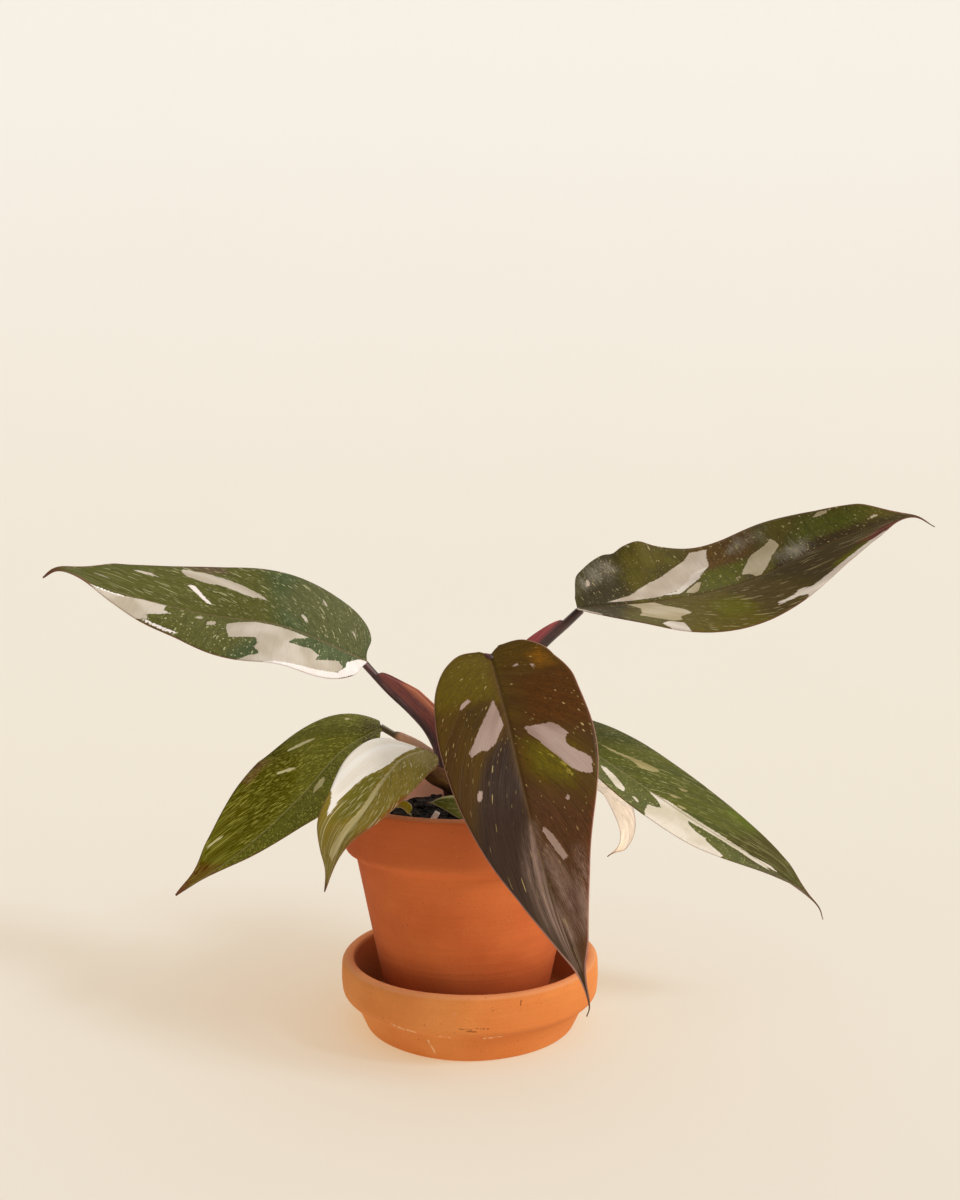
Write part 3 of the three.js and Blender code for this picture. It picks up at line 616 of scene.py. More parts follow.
        tissue=(rgb(94, 96, 46), rgb(74, 78, 36)),
        patches=[
            (rgb(90, 98, 40), 6, [between(0.64, 0.72, -1.1, -0.7)]),
            (rgb(72, 66, 20), 8, [between(0.72, 1, -1.1, 1.1)]),
        ],
        marks=[
            (rgb(172, 160, 112), rgb(150, 138, 88), [
                [(0.25, -0.3), (0.35, -0.37), (0.42, -0.5), (0.47, -0.57), (0.455, -0.42),
                 (0.42, -0.32), (0.38, -0.35), (0.3, -0.28)],
                [(0.53, -0.47), (0.55, -0.57), (0.555, -0.55), (0.545, -0.45)],
                [(0.52, -0.17), (0.55, -0.28), (0.565, -0.3), (0.55, -0.2)],
                [(0.57, -0.1), (0.59, -0.15), (0.6, -0.12), (0.585, -0.08)],
            ]),
            (rgb(228, 218, 204), rgb(210, 200, 178), [
                [(0.48, 0.05), (0.5, 0), (0.55, -0.05), (0.7, -0.07), (0.8, -0.03),
                 (0.84, -0.15), (0.86, -0.1), (0.84, 0.1), (0.8, 0.4), (0.79, 0.6),
                 (0.76, 0.5), (0.74, 0.3), (0.7, 0.17), (0.65, 0.15), (0.6, 0.18),
                 (0.59, 0.3), (0.6, 0.45), (0.62, 0.5), (0.615, 0.6), (0.62, 0.7),
                 (0.63, 0.9), (0.6, 1.1), (0.42, 1.1), (0.43, 0.8), (0.44, 0.65),
                 (0.45, 0.55), (0.48, 0.45), (0.5, 0.35), (0.5, 0.2), (0.49, 0.12)],
                [(0.29, 0.4), (0.31, 0.3), (0.35, 0.38), (0.38, 0.55), (0.375, 0.73),
                 (0.35, 0.75), (0.32, 0.6), (0.3, 0.5)],
                [(0.4, 0.65), (0.41, 0.6), (0.42, 0.7), (0.41, 0.75)],
            ]),
        ],
        dashes=(rgb(156, 154, 96), 0.4, 0.08),
        midrib=rgb(140, 132, 88), margin=rgb(116, 70, 52), under=rgb(126, 100, 78),
    ),
    "soil_leaf": leaf_look(
        tissue=(rgb(84, 84, 36), rgb(64, 66, 26)),
        patches=[(rgb(150, 146, 112), 0.7, [between(0.1, 0.9, 0.75, 1.1)])],
        dashes=(rgb(150, 150, 90), 0.3, 0),
        midrib=rgb(86, 84, 30), margin=rgb(176, 168, 126), under=rgb(104, 96, 50),
    ),
    "sprout": leaf_look(
        tissue=(rgb(176, 158, 76), rgb(136, 130, 50)),
        patches=[(rgb(222, 212, 150), 0.6, [[(0.7, -1.1), (0.6, 1.1), (1, 1.1), (1, -1.1)]])],
        dashes=(rgb(190, 180, 100), 0.3, 0),
        midrib=rgb(160, 140, 66), margin=rgb(232, 224, 190), under=rgb(140, 120, 60),
    ),
    "dried": leaf_look(
        tissue=(rgb(244, 234, 220), rgb(234, 220, 202)),
        patches=[
            (rgb(240, 226, 206), 1.5, [between(0.84, 0.93, -1.1, 1.1)]),
            (rgb(138, 102, 68), 0.8, [between(0.93, 1.1, -1.1, 1.1)]),
        ],
        dashes=(rgb(214, 196, 172), 0.2, 0),
        glow=0.6,
        midrib=rgb(226, 210, 188), margin=rgb(150, 110, 78), under=rgb(232, 218, 198),
    ),
}

VEIN_SPACING = 7.5
SIDE_VEIN_HEIGHT = 0.06
MIDRIB_LINE = 0.75
MARGIN_LINE = 0.35
FINGER_LENGTH = 1.5
TISSUE_STRENGTH = 1.22


def leaf_finish(name, look, under=False):
    """The face of a leaf, painted along its veins."""
    ragged_mm = look["ragged"]
    m = Finish(name)
    veins = m.direction("vein_place")
    along_vein, across_veins, _ = m.split(veins)
    share = m.measure("share")
    streaks = m.step(m.grain(veins, (0.12, 0.7, 1), detail=3, rough=0.6), 0.3, 0.7)
    mottle = m.step(m.grain(veins, (0.8, 1.3, 1), detail=3, rough=0.7), 0.32, 0.68)
    blotch = m.step(m.grain(veins, (0.22, 0.42, 1), detail=2, rough=0.6), 0.3, 0.7)
    clouds = m.grain(veins, (0.045, 0.07, 1), detail=1)
    fingers = m.grain(veins, (0.13, 1.1, 1), detail=3, rough=0.6)

    light, dark = look["tissue"]
    turn = m.ramp(mottle, 0.25, m.ramp(blotch, 0.3, clouds))
    colour = m.mix(m.step(turn, 0.55, 1.0), light, dark)
    ragged = m.ramp(fingers, ragged_mm, -ragged_mm / 2)
    for index, (tone, soft, _) in enumerate(look["patches"]):
        reach = m.plus(m.measure(f"patches_{index}"), ragged)
        colour = m.mix(m.step(reach, -soft * 0.6, soft * 0.6), colour, tone)
    lightness = m.ramp(streaks, 0.15, 0.56)
    lightness = m.plus(lightness, m.times(blotch, 0.24))
    lightness = m.plus(lightness, m.times(mottle, 0.42))
    colour = m.shade(colour, lightness, TISSUE_STRENGTH)
    fine = m.grain(veins, (0.04, 2.2, 1), detail=2)
    glints = m.grain(veins, (0.025, 0.12, 1), detail=1, rough=0.4)
    # sheen is a painted highlight: a pale tone laid in streaks into the colour where the leaf catches
    # light.
    if look["sheen"]:
        tone, _ = look["sheen"]
        reach = m.step(m.plus(m.measure("sheen"), ragged), -5.0, 4.0)
        highlight_streaks = m.step(m.ramp(mottle, 0.22, glints), 0.32, 0.95)
        colour = m.mix(m.times(reach, highlight_streaks), colour, tone)

    dash_tone, dash_amount, strip_amount = look["dashes"]
    crowd = m.step(clouds, 0.22, 0.62)
    dots = m.flecks(veins, (0.55, 0.8, 1), m.times(crowd, 0.5 * dash_amount), 0.3)
    strips = m.flecks(veins, (0.26, 0.95, 1), m.times(crowd, strip_amount), 0.34)
    tiny = m.flecks(veins, (1.0, 1.5, 1), dash_amount * 0.6, 0.36)
    colour = m.over(colour, tiny, dash_tone, 0.5)
    colour = m.over(colour, m.maths("MAXIMUM", dots, strips), dash_tone, 0.9)

    finger_mm = min(FINGER_LENGTH, ragged_mm)
    crisp = m.ramp(fingers, finger_mm, -finger_mm / 2)
    crisp = m.plus(crisp, m.ramp(mottle, 0.3 * finger_mm, -0.15 * finger_mm))
    pale = None
    for index, (bright, deep, _) in enumerate(look["marks"]):
        reach = m.plus(m.measure(f"marks_{index}"), crisp)
        here = m.step(reach, -0.1, 0.1)
        tone = m.mix(m.step(clouds, 0.35, 0.6), bright, deep)
        tone = m.shade(tone, m.ramp(m.plus(streaks, mottle), 0.06, 0.94))
        colour = m.mix(here, colour, tone)
        pale = here if pale is None else m.maths("MAXIMUM", pale, here)

    wander = m.ramp(m.grain(veins, (0.03, 0.05, 1), detail=0), 5.0, across_veins)
    near_vein = m.maths("PINGPONG", wander, VEIN_SPACING / 2)
    vein_line = m.step(near_vein, 0.45, 0.1)
    if pale is not None:
        vein_line = m.times(vein_line, m.ramp(pale, -0.75, 1.0))
    colour = m.shade(colour, m.ramp(vein_line, -0.12, 1.0))

    from_midrib = m.maths("ABSOLUTE", along_vein)
    rib_width = m.ramp(share, -0.6 * MIDRIB_LINE, MIDRIB_LINE)
    rib = m.step(m.maths("SUBTRACT", from_midrib, rib_width), 0.2, -0.15)
    colour = m.over(colour, rib, look["midrib"], 0.55)
    rim = m.step(m.measure("margin_gap"), MARGIN_LINE + 0.1, MARGIN_LINE - 0.2)
    if pale is not None:
        rim = m.times(rim, m.ramp(pale, -0.65, 1.0))
    colour = m.over(colour, rim, look["margin"], 0.6)
    tip = m.step(m.ramp(streaks, 0.04, share), 0.94, 1.0)
    colour = m.mix(tip, colour, TIP_TONE)
    if under:
        colour = m.mix(0.62, colour, look["under"])

    rough, shine = look["gloss"]
    gloss = m.ramp(mottle, 0.1, 0.5 if under else rough)
    if pale is not None:
        gloss = m.ramp(pale, 0.08, gloss)
    skin = m.grain(m.place(), (2600, 2600, 2600), detail=1)
    relief = m.bump(fine, 0.12)
    relief = m.bump(vein_line, 0.12 if under else -0.06, relief)
    relief = m.bump(skin, 0.03, relief)
    m.set(base_color=colour, roughness=gloss, normal=relief)
    m.shine(shine)
    # glow is painted light: the leaf gives off light of its own colour, standing in for light through
    # the thin leaf and for lamp light that falls short of it.
    if look["glow"]:
        m.set(emission_color=colour, emission_strength=look["glow"])
    return m.material


# Leaf blades

MIDRIB_DEPTH = 1.6
MIDRIB_HALF_WIDTH = 1.8
BLADE_HALF = 0.4
BLADE_EDGE_HALF = 0.2
GROOVE_DEPTH = 0.55
GROOVE_WIDTH = 0.9
COLUMN_SPREAD = 0.5
OUTLINE_PARTS = 4


def of_half(leaf, side, key):
    return np.where(side < 0, leaf["left"][key], leaf["right"][key])


def on_leaf(leaf, row, side):
    """The share along the midrib, and how far from the midrib in millimetres."""
    row = np.asarray(row, float)
    side = np.asarray(side, float)
    reach = np.abs(side)
    rim = curve_through(OUTLINE, row)
    lobe = of_half(leaf, side, "lobe")
    rim_share = rim[:, 0] - lobe * (1 - smoothstep(row, 0, WIDEST_ROW))
    width = np.maximum(rim[:, 1], 1e-4)
    width = np.where(row > WIDEST_ROW, width ** of_half(leaf, side, "slim"), width)
    width = width * (1 - leaf["tail"] * smoothstep(row, TAIL["from"], TAIL["to"]))
    start = np.maximum(row, 0) ** VEIN_START_POWER
    share = start + (rim_share - start) * reach + np.minimum(row, 0)
    width = width * of_half(leaf, side, "width")
    for name, here in (("left", side < 0), ("right", side >= 0)):
        for middle, spread, extra in leaf[name]["edge"]:
            width += np.where(here, extra * np.exp(-(((row - middle) / spread) ** 2)), 0)
    return share, np.maximum(width, TAIL["least"]) * reach


def blade_surface(leaf, route, row, side):
    """The middle of the blade's thickness, and the way its upper face looks."""
    share, across = on_leaf(leaf, row, side)
    place, forward = route.at(share)
    up = upright(along_leaf(leaf["facing"], share), forward)
    right = np.cross(forward, up)
    folds = [along_leaf(leaf[name]["fold"], share) for name in ("left", "right")]
    turn = np.where(side < 0, *folds) + of_half(leaf, side, "curl") * (
        across / of_half(leaf, side, "width")) / 2
    turn = np.radians(turn)
    lift = across * np.sin(turn)
    for name, here in (("left", side < 0), ("right", side >= 0)):
        for middle, spread, height in leaf[name]["waves"]:
            wave = height * np.exp(-(((share - middle) / spread) ** 2)) * side ** 2
            lift += np.where(here, wave, 0)
    place = place + right * (np.sign(side) * across * np.cos(turn))[:, None]
    return place + up * lift[:, None], up


def distance_inside(points, outline):
    """How far each point lies inside a closed outline, and less than 0 outside it."""
    starts = np.asarray(outline, float)
    ends = np.roll(starts, -1, axis=0)
    span = ends - starts
    to_start = points[:, None, :] - starts[None]
    share = (to_start * span).sum(2) / np.maximum((span ** 2).sum(1), 1e-9)
    nearest = to_start - np.clip(share, 0, 1)[..., None] * span
    gap = np.sqrt((nearest ** 2).sum(2)).min(1)
    above = starts[:, 1] > points[:, 1, None]
    above_next = ends[:, 1] > points[:, 1, None]
    rise = np.where(span[:, 1] == 0, 1e-9, span[:, 1])
    crossing = starts[:, 0] + (points[:, 1, None] - starts[:, 1]) / rise * span[:, 0]
    crossings = ((above != above_next) & (points[:, 0, None] < crossing)).sum(1)
    return np.where(crossings % 2 == 1, gap, -gap)


def flat_place(leaf, route, row, side):
    """The leaf spread out flat, in millimetres along and across."""
    share, across = on_leaf(leaf, row, side)
    return np.stack([share * route.length, np.sign(side) * across], 1)


def outlines_inside(leaf, route, flat, outlines):
    """How far inside the nearest of some outlines, each given in row and side."""
    depth = np.full(len(flat), -1e3)
    for outline in outlines:
        starts = np.asarray(outline, float)
        ends = np.roll(starts, -1, axis=0)
        parts = np.arange(OUTLINE_PARTS)[None, :, None] / OUTLINE_PARTS
        fine = (starts[:, None] + (ends - starts)[:, None] * parts).reshape(-1, 2)
        corners = flat_place(leaf, route, fine[:, 0], fine[:, 1])
        depth = np.maximum(depth, distance_inside(flat, corners))
    return depth


def leaf_piece(name, rows, columns):
    """A blade: a grid laid along the midrib, thickened, with its veins raised below."""
    leaf = LEAVES[name]
    look = LOOKS[name]
    route = Route(leaf["midrib"])
    small = name in SMALL_LEAVES
    bm = bmesh.new()
    row_of = bm.verts.layers.float.new("row")
    side_of = bm.verts.layers.float.new("side")
    bmesh.ops.create_grid(bm, x_segments=columns, y_segments=rows, size=1)
    for vert in bm.verts:
        x = vert.co.x
        vert[side_of] = x * (COLUMN_SPREAD + (1 - COLUMN_SPREAD) * x * x)
        vert[row_of] = (vert.co.y + 1) / 2
    thick = bmesh.ops.extrude_face_region(bm, geom=bm.faces[:])
    lower = [item for item in thick["geom"] if isinstance(item, bmesh.types.BMVert)]
    bmesh.ops.translate(bm, verts=lower, vec=(0, 0, -0.1))
    bmesh.ops.recalc_face_normals(bm, faces=bm.faces[:])
    for face in bm.faces:
        face.smooth = True
        face.material_index = int(face.normal.z < -0.5)
    under = np.array([vert.co.z < -0.05 for vert in bm.verts])
    row = np.array([vert[row_of] for vert in bm.verts])
    side = np.array([vert[side_of] for vert in bm.verts])

    share, across = on_leaf(leaf, row, side)
    flat = flat_place(leaf, route, row, side)
    place, up = blade_surface(leaf, route, row, side)
    reach = np.abs(side)
    start = np.maximum(row, 0) ** VEIN_START_POWER
    vein_run = np.hypot(across, (share - start) * route.length)
    vein_row = (row - of_half(leaf, side, "sweep") * reach) * route.length
    half_depth = BLADE_HALF + (BLADE_EDGE_HALF - BLADE_HALF) * reach ** 2
    half_depth = half_depth * (1 - 0.5 * smoothstep(row, 0.85, 1))
    offset = np.where(under, -half_depth, half_depth)
    if not small:
        fade = smoothstep(reach, 0.03, 0.15) * (1 - smoothstep(reach, 0.8, 1)) * (1 - row) ** 0.5
        ripple = np.cos(2 * np.pi * vein_row / VEIN_SPACING) * SIDE_VEIN_HEIGHT * fade
        groove = GROOVE_DEPTH * (1 - row) ** 0.5 * np.exp(-((across / GROOVE_WIDTH) ** 2))
        rib = MIDRIB_DEPTH * (1 - row) * np.exp(-((across / MIDRIB_HALF_WIDTH) ** 2))
        offset = offset - ripple - np.where(under, rib, groove)
    place = place + up * offset[:, None]

    measures = {
        "share": share,
        "margin_gap": (1 - reach) * across / np.maximum(reach, 1e-3),
    }
    _, first, again = np.unique(np.stack([row, side], 1), axis=0, return_index=True,
                                return_inverse=True)
    areas = {}
    if look["sheen"]:
        areas["sheen"] = look["sheen"][1]
    for kind in ("patches", "marks"):
        areas |= {f"{kind}_{index}": outlines
                  for index, (_, _, outlines) in enumerate(look[kind])}
    for area, outlines in areas.items():
        measures[area] = outlines_inside(leaf, route, flat[first], outlines)[np.ravel(again)]
    materials = [leaf_finish(f"leaf_face_{name}", look),
                 leaf_finish(f"leaf_under_{name}", look, under=True)]
    piece = finished("blade_" + name, bm, materials)
    side_way = np.where(side < 0, -1.0, 1.0)
    veins = np.stack([side_way * vein_run, vein_row, np.zeros(len(row))], 1)
    lay_out(piece.data, place * MM, measures, {"vein_place": veins})
    return piece


# Making a piece

def finished(name, bm, materials):
    mesh = bpy.data.meshes.new(name)
    bm.to_mesh(mesh)
    bm.free()
    piece = bpy.data.objects.new(name, mesh)
    bpy.context.scene.collection.objects.link(piece)
    for material in materials:
        mesh.materials.append(material)
    return piece


def lay_out(mesh, places, measures, directions):
    """Moves a mesh's points to their places and gives them their measures."""
    mesh.vertices.foreach_set("co", np.ravel(places))
    for name, values in measures.items():
        mesh.attributes.new(name, "FLOAT", "POINT").data.foreach_set("value", np.ravel(values))
    for name, values in directions.items():
        layer = mesh.attributes.new(name, "FLOAT_VECTOR", "POINT")
        layer.data.foreach_set("vector", np.ravel(values))
    mesh.update()


def stands_for(piece, node):
    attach(piece, BODY)
    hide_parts(node)


# Stalks

ARC_STEPS = 9
WING_THICKNESS = 1.1
WING_RISE_SHARE = 0.12
WING_TIP_SHARE = 0.25
CHANNEL_TOP = 0.25
CHANNEL_BOTTOM = 0.2


def stalk_section(radius, wing, thick, count):
    """A closed outline round a stalk: round below, with a channel between its two wings."""
    top = CHANNEL_TOP * radius + wing
    arc = [math.radians(-8 - 164 * step / (ARC_STEPS - 1)) for step in range(ARC_STEPS)]
    below = [(radius * math.cos(angle), radius * math.sin(angle)) for angle in arc]
    floor = CHANNEL_BOTTOM * radius
    wall = [(-radius, top * 0.6), (-radius + thick * 0.2, top), (-radius + thick * 0.7, top),
            (-radius + thick, floor + (top - floor) * 0.6), (-radius * 0.55, floor)]
    outline = below + wall + [(0, floor)] + [(-x, y) for x, y in reversed(wall)]
    height = [0] * ARC_STEPS + [0.6, 1, 1, 0.6, 0, 0, 0, 0.6, 1, 1, 0.6]
    share = np.linspace(0, 1, count + 1)
    closed = np.column_stack([outline + outline[:1], height + height[:1]])
    return curve_through(closed, share)


def stalk_piece(name, spec, material, steps, around):
    """A stalk: a grid rolled up round its route."""
    route = Route(spec["route"])
    inner = np.array([spec["inner"]], float)
    share = np.linspace(0, 1, steps + 1)
    place, forward = route.at(share)
    up = upright(inner, forward)
    side = np.cross(forward, up)
    radius = along_leaf(spec["radius"], share)
    wing = np.zeros(steps + 1)
    if spec["wing"]:
        start, stop, height = spec["wing"]
        rise = smoothstep(share, start - WING_RISE_SHARE, start + WING_RISE_SHARE)
        wing = height * rise * np.sqrt(np.clip((stop - share) / WING_TIP_SHARE, 0, 1))
    sections = [stalk_section(radius[k], wing[k], min(WING_THICKNESS, 0.6 * radius[k]), around)
                for k in range(steps + 1)]

    bm = bmesh.new()
    bmesh.ops.create_grid(bm, x_segments=around, y_segments=steps, size=1)
    wing_layer = bm.verts.layers.float.new("wing")
    place_layer = bm.verts.layers.float_vector.new("stalk_place")
    for vert in bm.verts:
        column = round((vert.co.x + 1) / 2 * around)
        ring = round((vert.co.y + 1) / 2 * steps)
        x, y, height = sections[ring][column]
        vert.co = Vector(place[ring] + side[ring] * x + up[ring] * y) * MM
        vert[wing_layer] = height * wing[ring]
        vert[place_layer] = (share[ring] * route.length, x, y)
    bmesh.ops.remove_doubles(bm, verts=bm.verts[:], dist=1e-6)
    bmesh.ops.holes_fill(bm, edges=[edge for edge in bm.edges if edge.is_boundary], sides=0)
    bmesh.ops.recalc_face_normals(bm, faces=bm.faces[:])
    for face in bm.faces:
        face.smooth = True
    return finished(name, bm, [material])


def stalk_finish(name, shaft, gleam, sheath=None, end=None, brim=None):
    """shaft and sheath are a tone and a darker one, and a stalk without a sheath has one pair."""
    shaft_light, shaft_dark = shaft
    sheath_light, sheath_dark = sheath or shaft
    m = Finish(name)
    place = m.direction("stalk_place")
    wing = m.measure("wing")
    lines = m.grain(place, (0.03, 2.2, 2.2), detail=3, rough=0.6)
    blotches = m.grain(place, (0.12, 0.4, 0.4), detail=2)
    colour = m.mix(m.step(m.plus(lines, blotches), 0.8, 1.2), shaft_light, shaft_dark)
    web = m.mix(m.step(lines, 0.4, 0.6), sheath_light, sheath_dark)
    colour = m.mix(m.step(wing, 0.3, 2.2), colour, web)
    # gleam is a painted highlight: pale streaks laid along the stalk.
    colour = m.over(colour, m.step(lines, 0.62, 0.72), gleam, 0.6)
    if brim:
        tone, begin, stop = brim
        reach = m.ramp(blotches, 1.6, wing)
        colour = m.over(colour, m.step(reach, begin, stop), tone, 0.85)
    if end:
        along, _, _ = m.split(place)
        tone, begin, stop = end
        colour = m.mix(m.step(along, begin, stop), colour, tone)
    gloss = m.ramp(blotches, 0.2, 0.26)
    m.set(base_color=colour, roughness=gloss, normal=m.bump(lines, 0.12))
    return m.material


# Pot and saucer

TURN_STEPS = 160


def rounded_profile(corners, longest=3.0, arc_steps=5):
    """Radius and height along a wall, each corner given with how far its rounding reaches."""
    points = []
    count = len(corners)
    for index, (radius, height, reach) in enumerate(corners):
        corner = Vector((radius, height))
        if reach == 0 or index in (0, count - 1):
            points.append(corner)
            continue
        before = Vector(corners[index - 1][:2])
        after = Vector(corners[index + 1][:2])
        start = corner + (before - corner).normalized() * reach
        stop = corner + (after - corner).normalized() * reach
        for step in range(arc_steps + 1):
            t = step / arc_steps
            points.append(start * (1 - t) ** 2 + corner * 2 * t * (1 - t) + stop * t * t)
    filled = [points[0]]
    for point in points[1:]:
        pieces = math.ceil((point - filled[-1]).length / longest)
        last = filled[-1]
        filled += [last.lerp(point, k / pieces) for k in range(1, pieces + 1)]
    return filled


def turned(profile, centre_x=0.0, steps=TURN_STEPS, closed=False):
    """A profile spun once round the upright axis."""
    bm = bmesh.new()
    verts = [bm.verts.new((point.x * MM, 0, point.y * MM)) for point in profile]
    for first, second in zip(verts, verts[1:]):
        bm.edges.new((first, second))
    if closed:
        bm.edges.new((verts[-1], verts[0]))
    bmesh.ops.spin(bm, geom=bm.verts[:] + bm.edges[:], cent=(0, 0, 0), axis=(0, 0, 1),
                   angle=math.tau, steps=steps, use_merge=True)
    bmesh.ops.remove_doubles(bm, verts=bm.verts[:], dist=1e-6)
    bmesh.ops.recalc_face_normals(bm, faces=bm.faces[:])
    bmesh.ops.translate(bm, verts=bm.verts[:], vec=(centre_x * MM, 0, 0))
    for face in bm.faces:
        face.smooth = True
    return bm


def uneven(bm, size_mm, depth_mm, centre_x, seed):
    """Moves a turned wall in and out a little, as a hand-turned one is."""
    shift = Vector((seed * 7.1, seed * 3.7, seed * 5.3))
    for vert in bm.verts:
        out = Vector((vert.co.x - centre_x * MM, vert.co.y, 0))
        if out.length < MM:
            continue
        amount = noise.noise(vert.co / (size_mm * MM) + shift)
        vert.co += out.normalized() * amount * depth_mm * MM


def strokes(m, place, lines, width):
    """Where thin straight strokes run over the front, each from one X and Z to another."""
    x, y, z = m.split(place)
    flat = m.node("CombineXYZ", {0: x, 1: 0.0, 2: z}).outputs[0]
    total = None
    for (x1, z1), (x2, z2) in lines:
        start = Vector((x1, 0, z1)) * MM
        span = Vector((x2 - x1, 0, z2 - z1)) * MM
        from_start = m.node("VectorMath", {0: flat, 1: start}, operation="SUBTRACT").outputs[0]
        dot = m.node("VectorMath", {0: from_start, 1: span}, operation="DOT_PRODUCT")
        along = m.maths("DIVIDE", dot.outputs["Value"], span.length_squared)
        along = m.maths("MINIMUM", m.maths("MAXIMUM", along, 0.0), 1.0)
        scale = m.node("VectorMath", {0: span, "Scale": along}, operation="SCALE").outputs[0]
        gap = m.node("VectorMath", {0: from_start, 1: scale}, operation="DISTANCE")
        line = m.step(gap.outputs["Value"], width * MM, 0.35 * width * MM)
        total = line if total is None else m.maths("MAXIMUM", total, line)
    broken = m.step(m.grain(place, (900, 900, 900), detail=2), 0.4, 0.52)
    facing = m.step(y, 0.0, -0.01)
    return m.times(m.times(total, broken), facing)


# What lies over the bare clay: a tone and how strong it is. The dish and the foot are darker, the
# band tone is painted shade over the rim band, and the pale top edge is wear with a painted
# highlight.
CLAY_LAYERS = {
    "dish": (rgb(120, 58, 30), 0.55), "foot": (rgb(142, 46, 17), 0.95),
    "band": (rgb(176, 78, 34), 0.4), "salts": (rgb(226, 176, 152), 0.7),
    "wear_and_highlight": (rgb(246, 186, 140), 0.35), "dust": (rgb(232, 190, 150), 0.22),
    "specks": (rgb(96, 44, 20), 0.55), "scuffs": (rgb(250, 214, 168), 0.75),
    "cracks": (rgb(110, 52, 24), 0.8),
}
SCUFF_WIDTH = 0.55
CRACK_WIDTH = 0.35


def clay_finish(name, bright, deep, top, scuffs=(), cracks=(), dark_dish=None, dark_foot=None,
                band_shade_from=None, salts=None):
    """Fired clay, pale along its top edge from wear and a painted highlight, and where wanted darker
    in the dish and at the foot, with painted shade over the rim band, or salty.
    """
    m = Finish(name)
    place = m.place()
    x, y, height = m.split(place)
    clouds = m.grain(place, (28, 28, 34), detail=3)
    drift = m.grain(place, (9, 9, 13), detail=1)
    grain = m.grain(place, (1500, 1500, 1500), detail=2, rough=0.7)
    rings = m.grain(place, (14, 14, 900), detail=2)
    share = m.ramp(drift, 0.7, m.times(clouds, 0.5))
    colour = m.mix(m.step(share, 0.4, 0.8), bright, deep)
    lightness = m.ramp(grain, 0.26, 0.87)
    lightness = m.plus(lightness, m.ramp(rings, 0.12, -0.06))
    colour = m.shade(colour, lightness)
    away = m.maths("SQRT", m.ramp(x, x, m.times(y, y)))
    # Darker down in the dish.
    if dark_dish:
        radius, lean, floor = dark_dish
        depth = m.ramp(height, -lean, away)
        darkening = m.step(depth, (radius + 0.5) * MM, (radius - 0.5) * MM)
        darkening = m.times(darkening, m.step(height, (floor - 0.6) * MM, (floor - 0.2) * MM))
        colour = m.over(colour, darkening, *CLAY_LAYERS["dish"])
    # Darker towards the foot.
    if dark_foot:
        darkest_below, unmarked_above = dark_foot
        darkening = m.step(m.ramp(clouds, 0.016, height), unmarked_above * MM, darkest_below * MM)
        colour = m.over(colour, darkening, *CLAY_LAYERS["foot"])
    # Painted shade: the rim band made darker from this height up, where the leaves above shade it.
    if band_shade_from:
        band = m.step(m.ramp(clouds, 0.01, height), band_shade_from * MM,
                      (band_shade_from + 6) * MM)
        colour = m.over(colour, band, *CLAY_LAYERS["band"])
    if salts:
        radius, low = salts
        inner = m.step(away, radius * MM, (radius - 1) * MM)
        inner = m.times(inner, m.step(height, low * MM, (low + 6) * MM))
        colour = m.over(colour, inner, *CLAY_LAYERS["salts"])
    # Pale along the top edge: wear, and a painted highlight where the rim catches light.
    wear_and_highlight = m.step(height, (top - 1.5) * MM, (top - 0.3) * MM)
    colour = m.over(colour, wear_and_highlight, *CLAY_LAYERS["wear_and_highlight"])
    dust = m.step(m.grain(place, (420, 420, 420), detail=3, rough=0.6), 0.68, 0.76)
    colour = m.over(colour, dust, *CLAY_LAYERS["dust"])
    specks = m.step(m.grain(place, (1100, 1100, 1100), detail=0), 0.82, 0.86)
    colour = m.over(colour, specks, *CLAY_LAYERS["specks"])
    if scuffs:
        colour = m.over(colour, strokes(m, place, scuffs, SCUFF_WIDTH), *CLAY_LAYERS["scuffs"])
    if cracks:
        colour = m.over(colour, strokes(m, place, cracks, CRACK_WIDTH), *CLAY_LAYERS["cracks"])
    relief = m.bump(rings, 0.12)
    relief = m.bump(grain, 0.1, relief)
    relief = m.bump(dust, -0.05, relief)
    m.set(base_color=colour, roughness=m.ramp(grain, 0.14, 0.78), normal=relief)
    m.shine(0.3)
    return m.material


SAUCER_SCUFFS = [
    ((-33, 16.6), (-27.5, 15.4)), ((-26, 15.6), (-22.5, 14.9)), ((-12.5, 13.2), (-8, 13)),
    ((-17.4, 10), (-14.4, 3.6)), ((6, 12.4), (14, 13)),
]
SAUCER_CRACKS = [
    ((21.6, 29), (21.3, 25.5)), ((-4, 18.6), (1, 18.2)), ((3, 18.9), (8, 18.5)),
    ((-1, 17.6), (3, 17.4)),
]
POT_SCUFFS = [((-2, 20), (0.5, 18.5))]

SAUCER_BASE = 47.9
SAUCER_BAND_BOTTOM = 14.8
SAUCER_BAND_DEPTH = 5.5
SAUCER_LIP = 6.2
SAUCER_FLOOR = 7.0
SAUCER_SLOPE = 5.0
SAUCER_WALL_LEAN = 0.227
POT_BASE = 36.5
POT_BAND_BOTTOM = 81.0
POT_BAND_DEPTH = 5.0
POT_UNDER_BAND = 78.5
POT_WALL = 5.5
POT_THIN_WALL = 3.6
POT_INSIDE_FLOOR = 15.5
POT_INSIDE_BEND = 77.0
POT_DRAIN = 6.0
POT_DARK_FOOT = (12, 44)
POT_BAND_SHADE_FROM = 84


def millimetres(node):
    low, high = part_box(node)
    return Vector(low) / MM, Vector(high) / MM


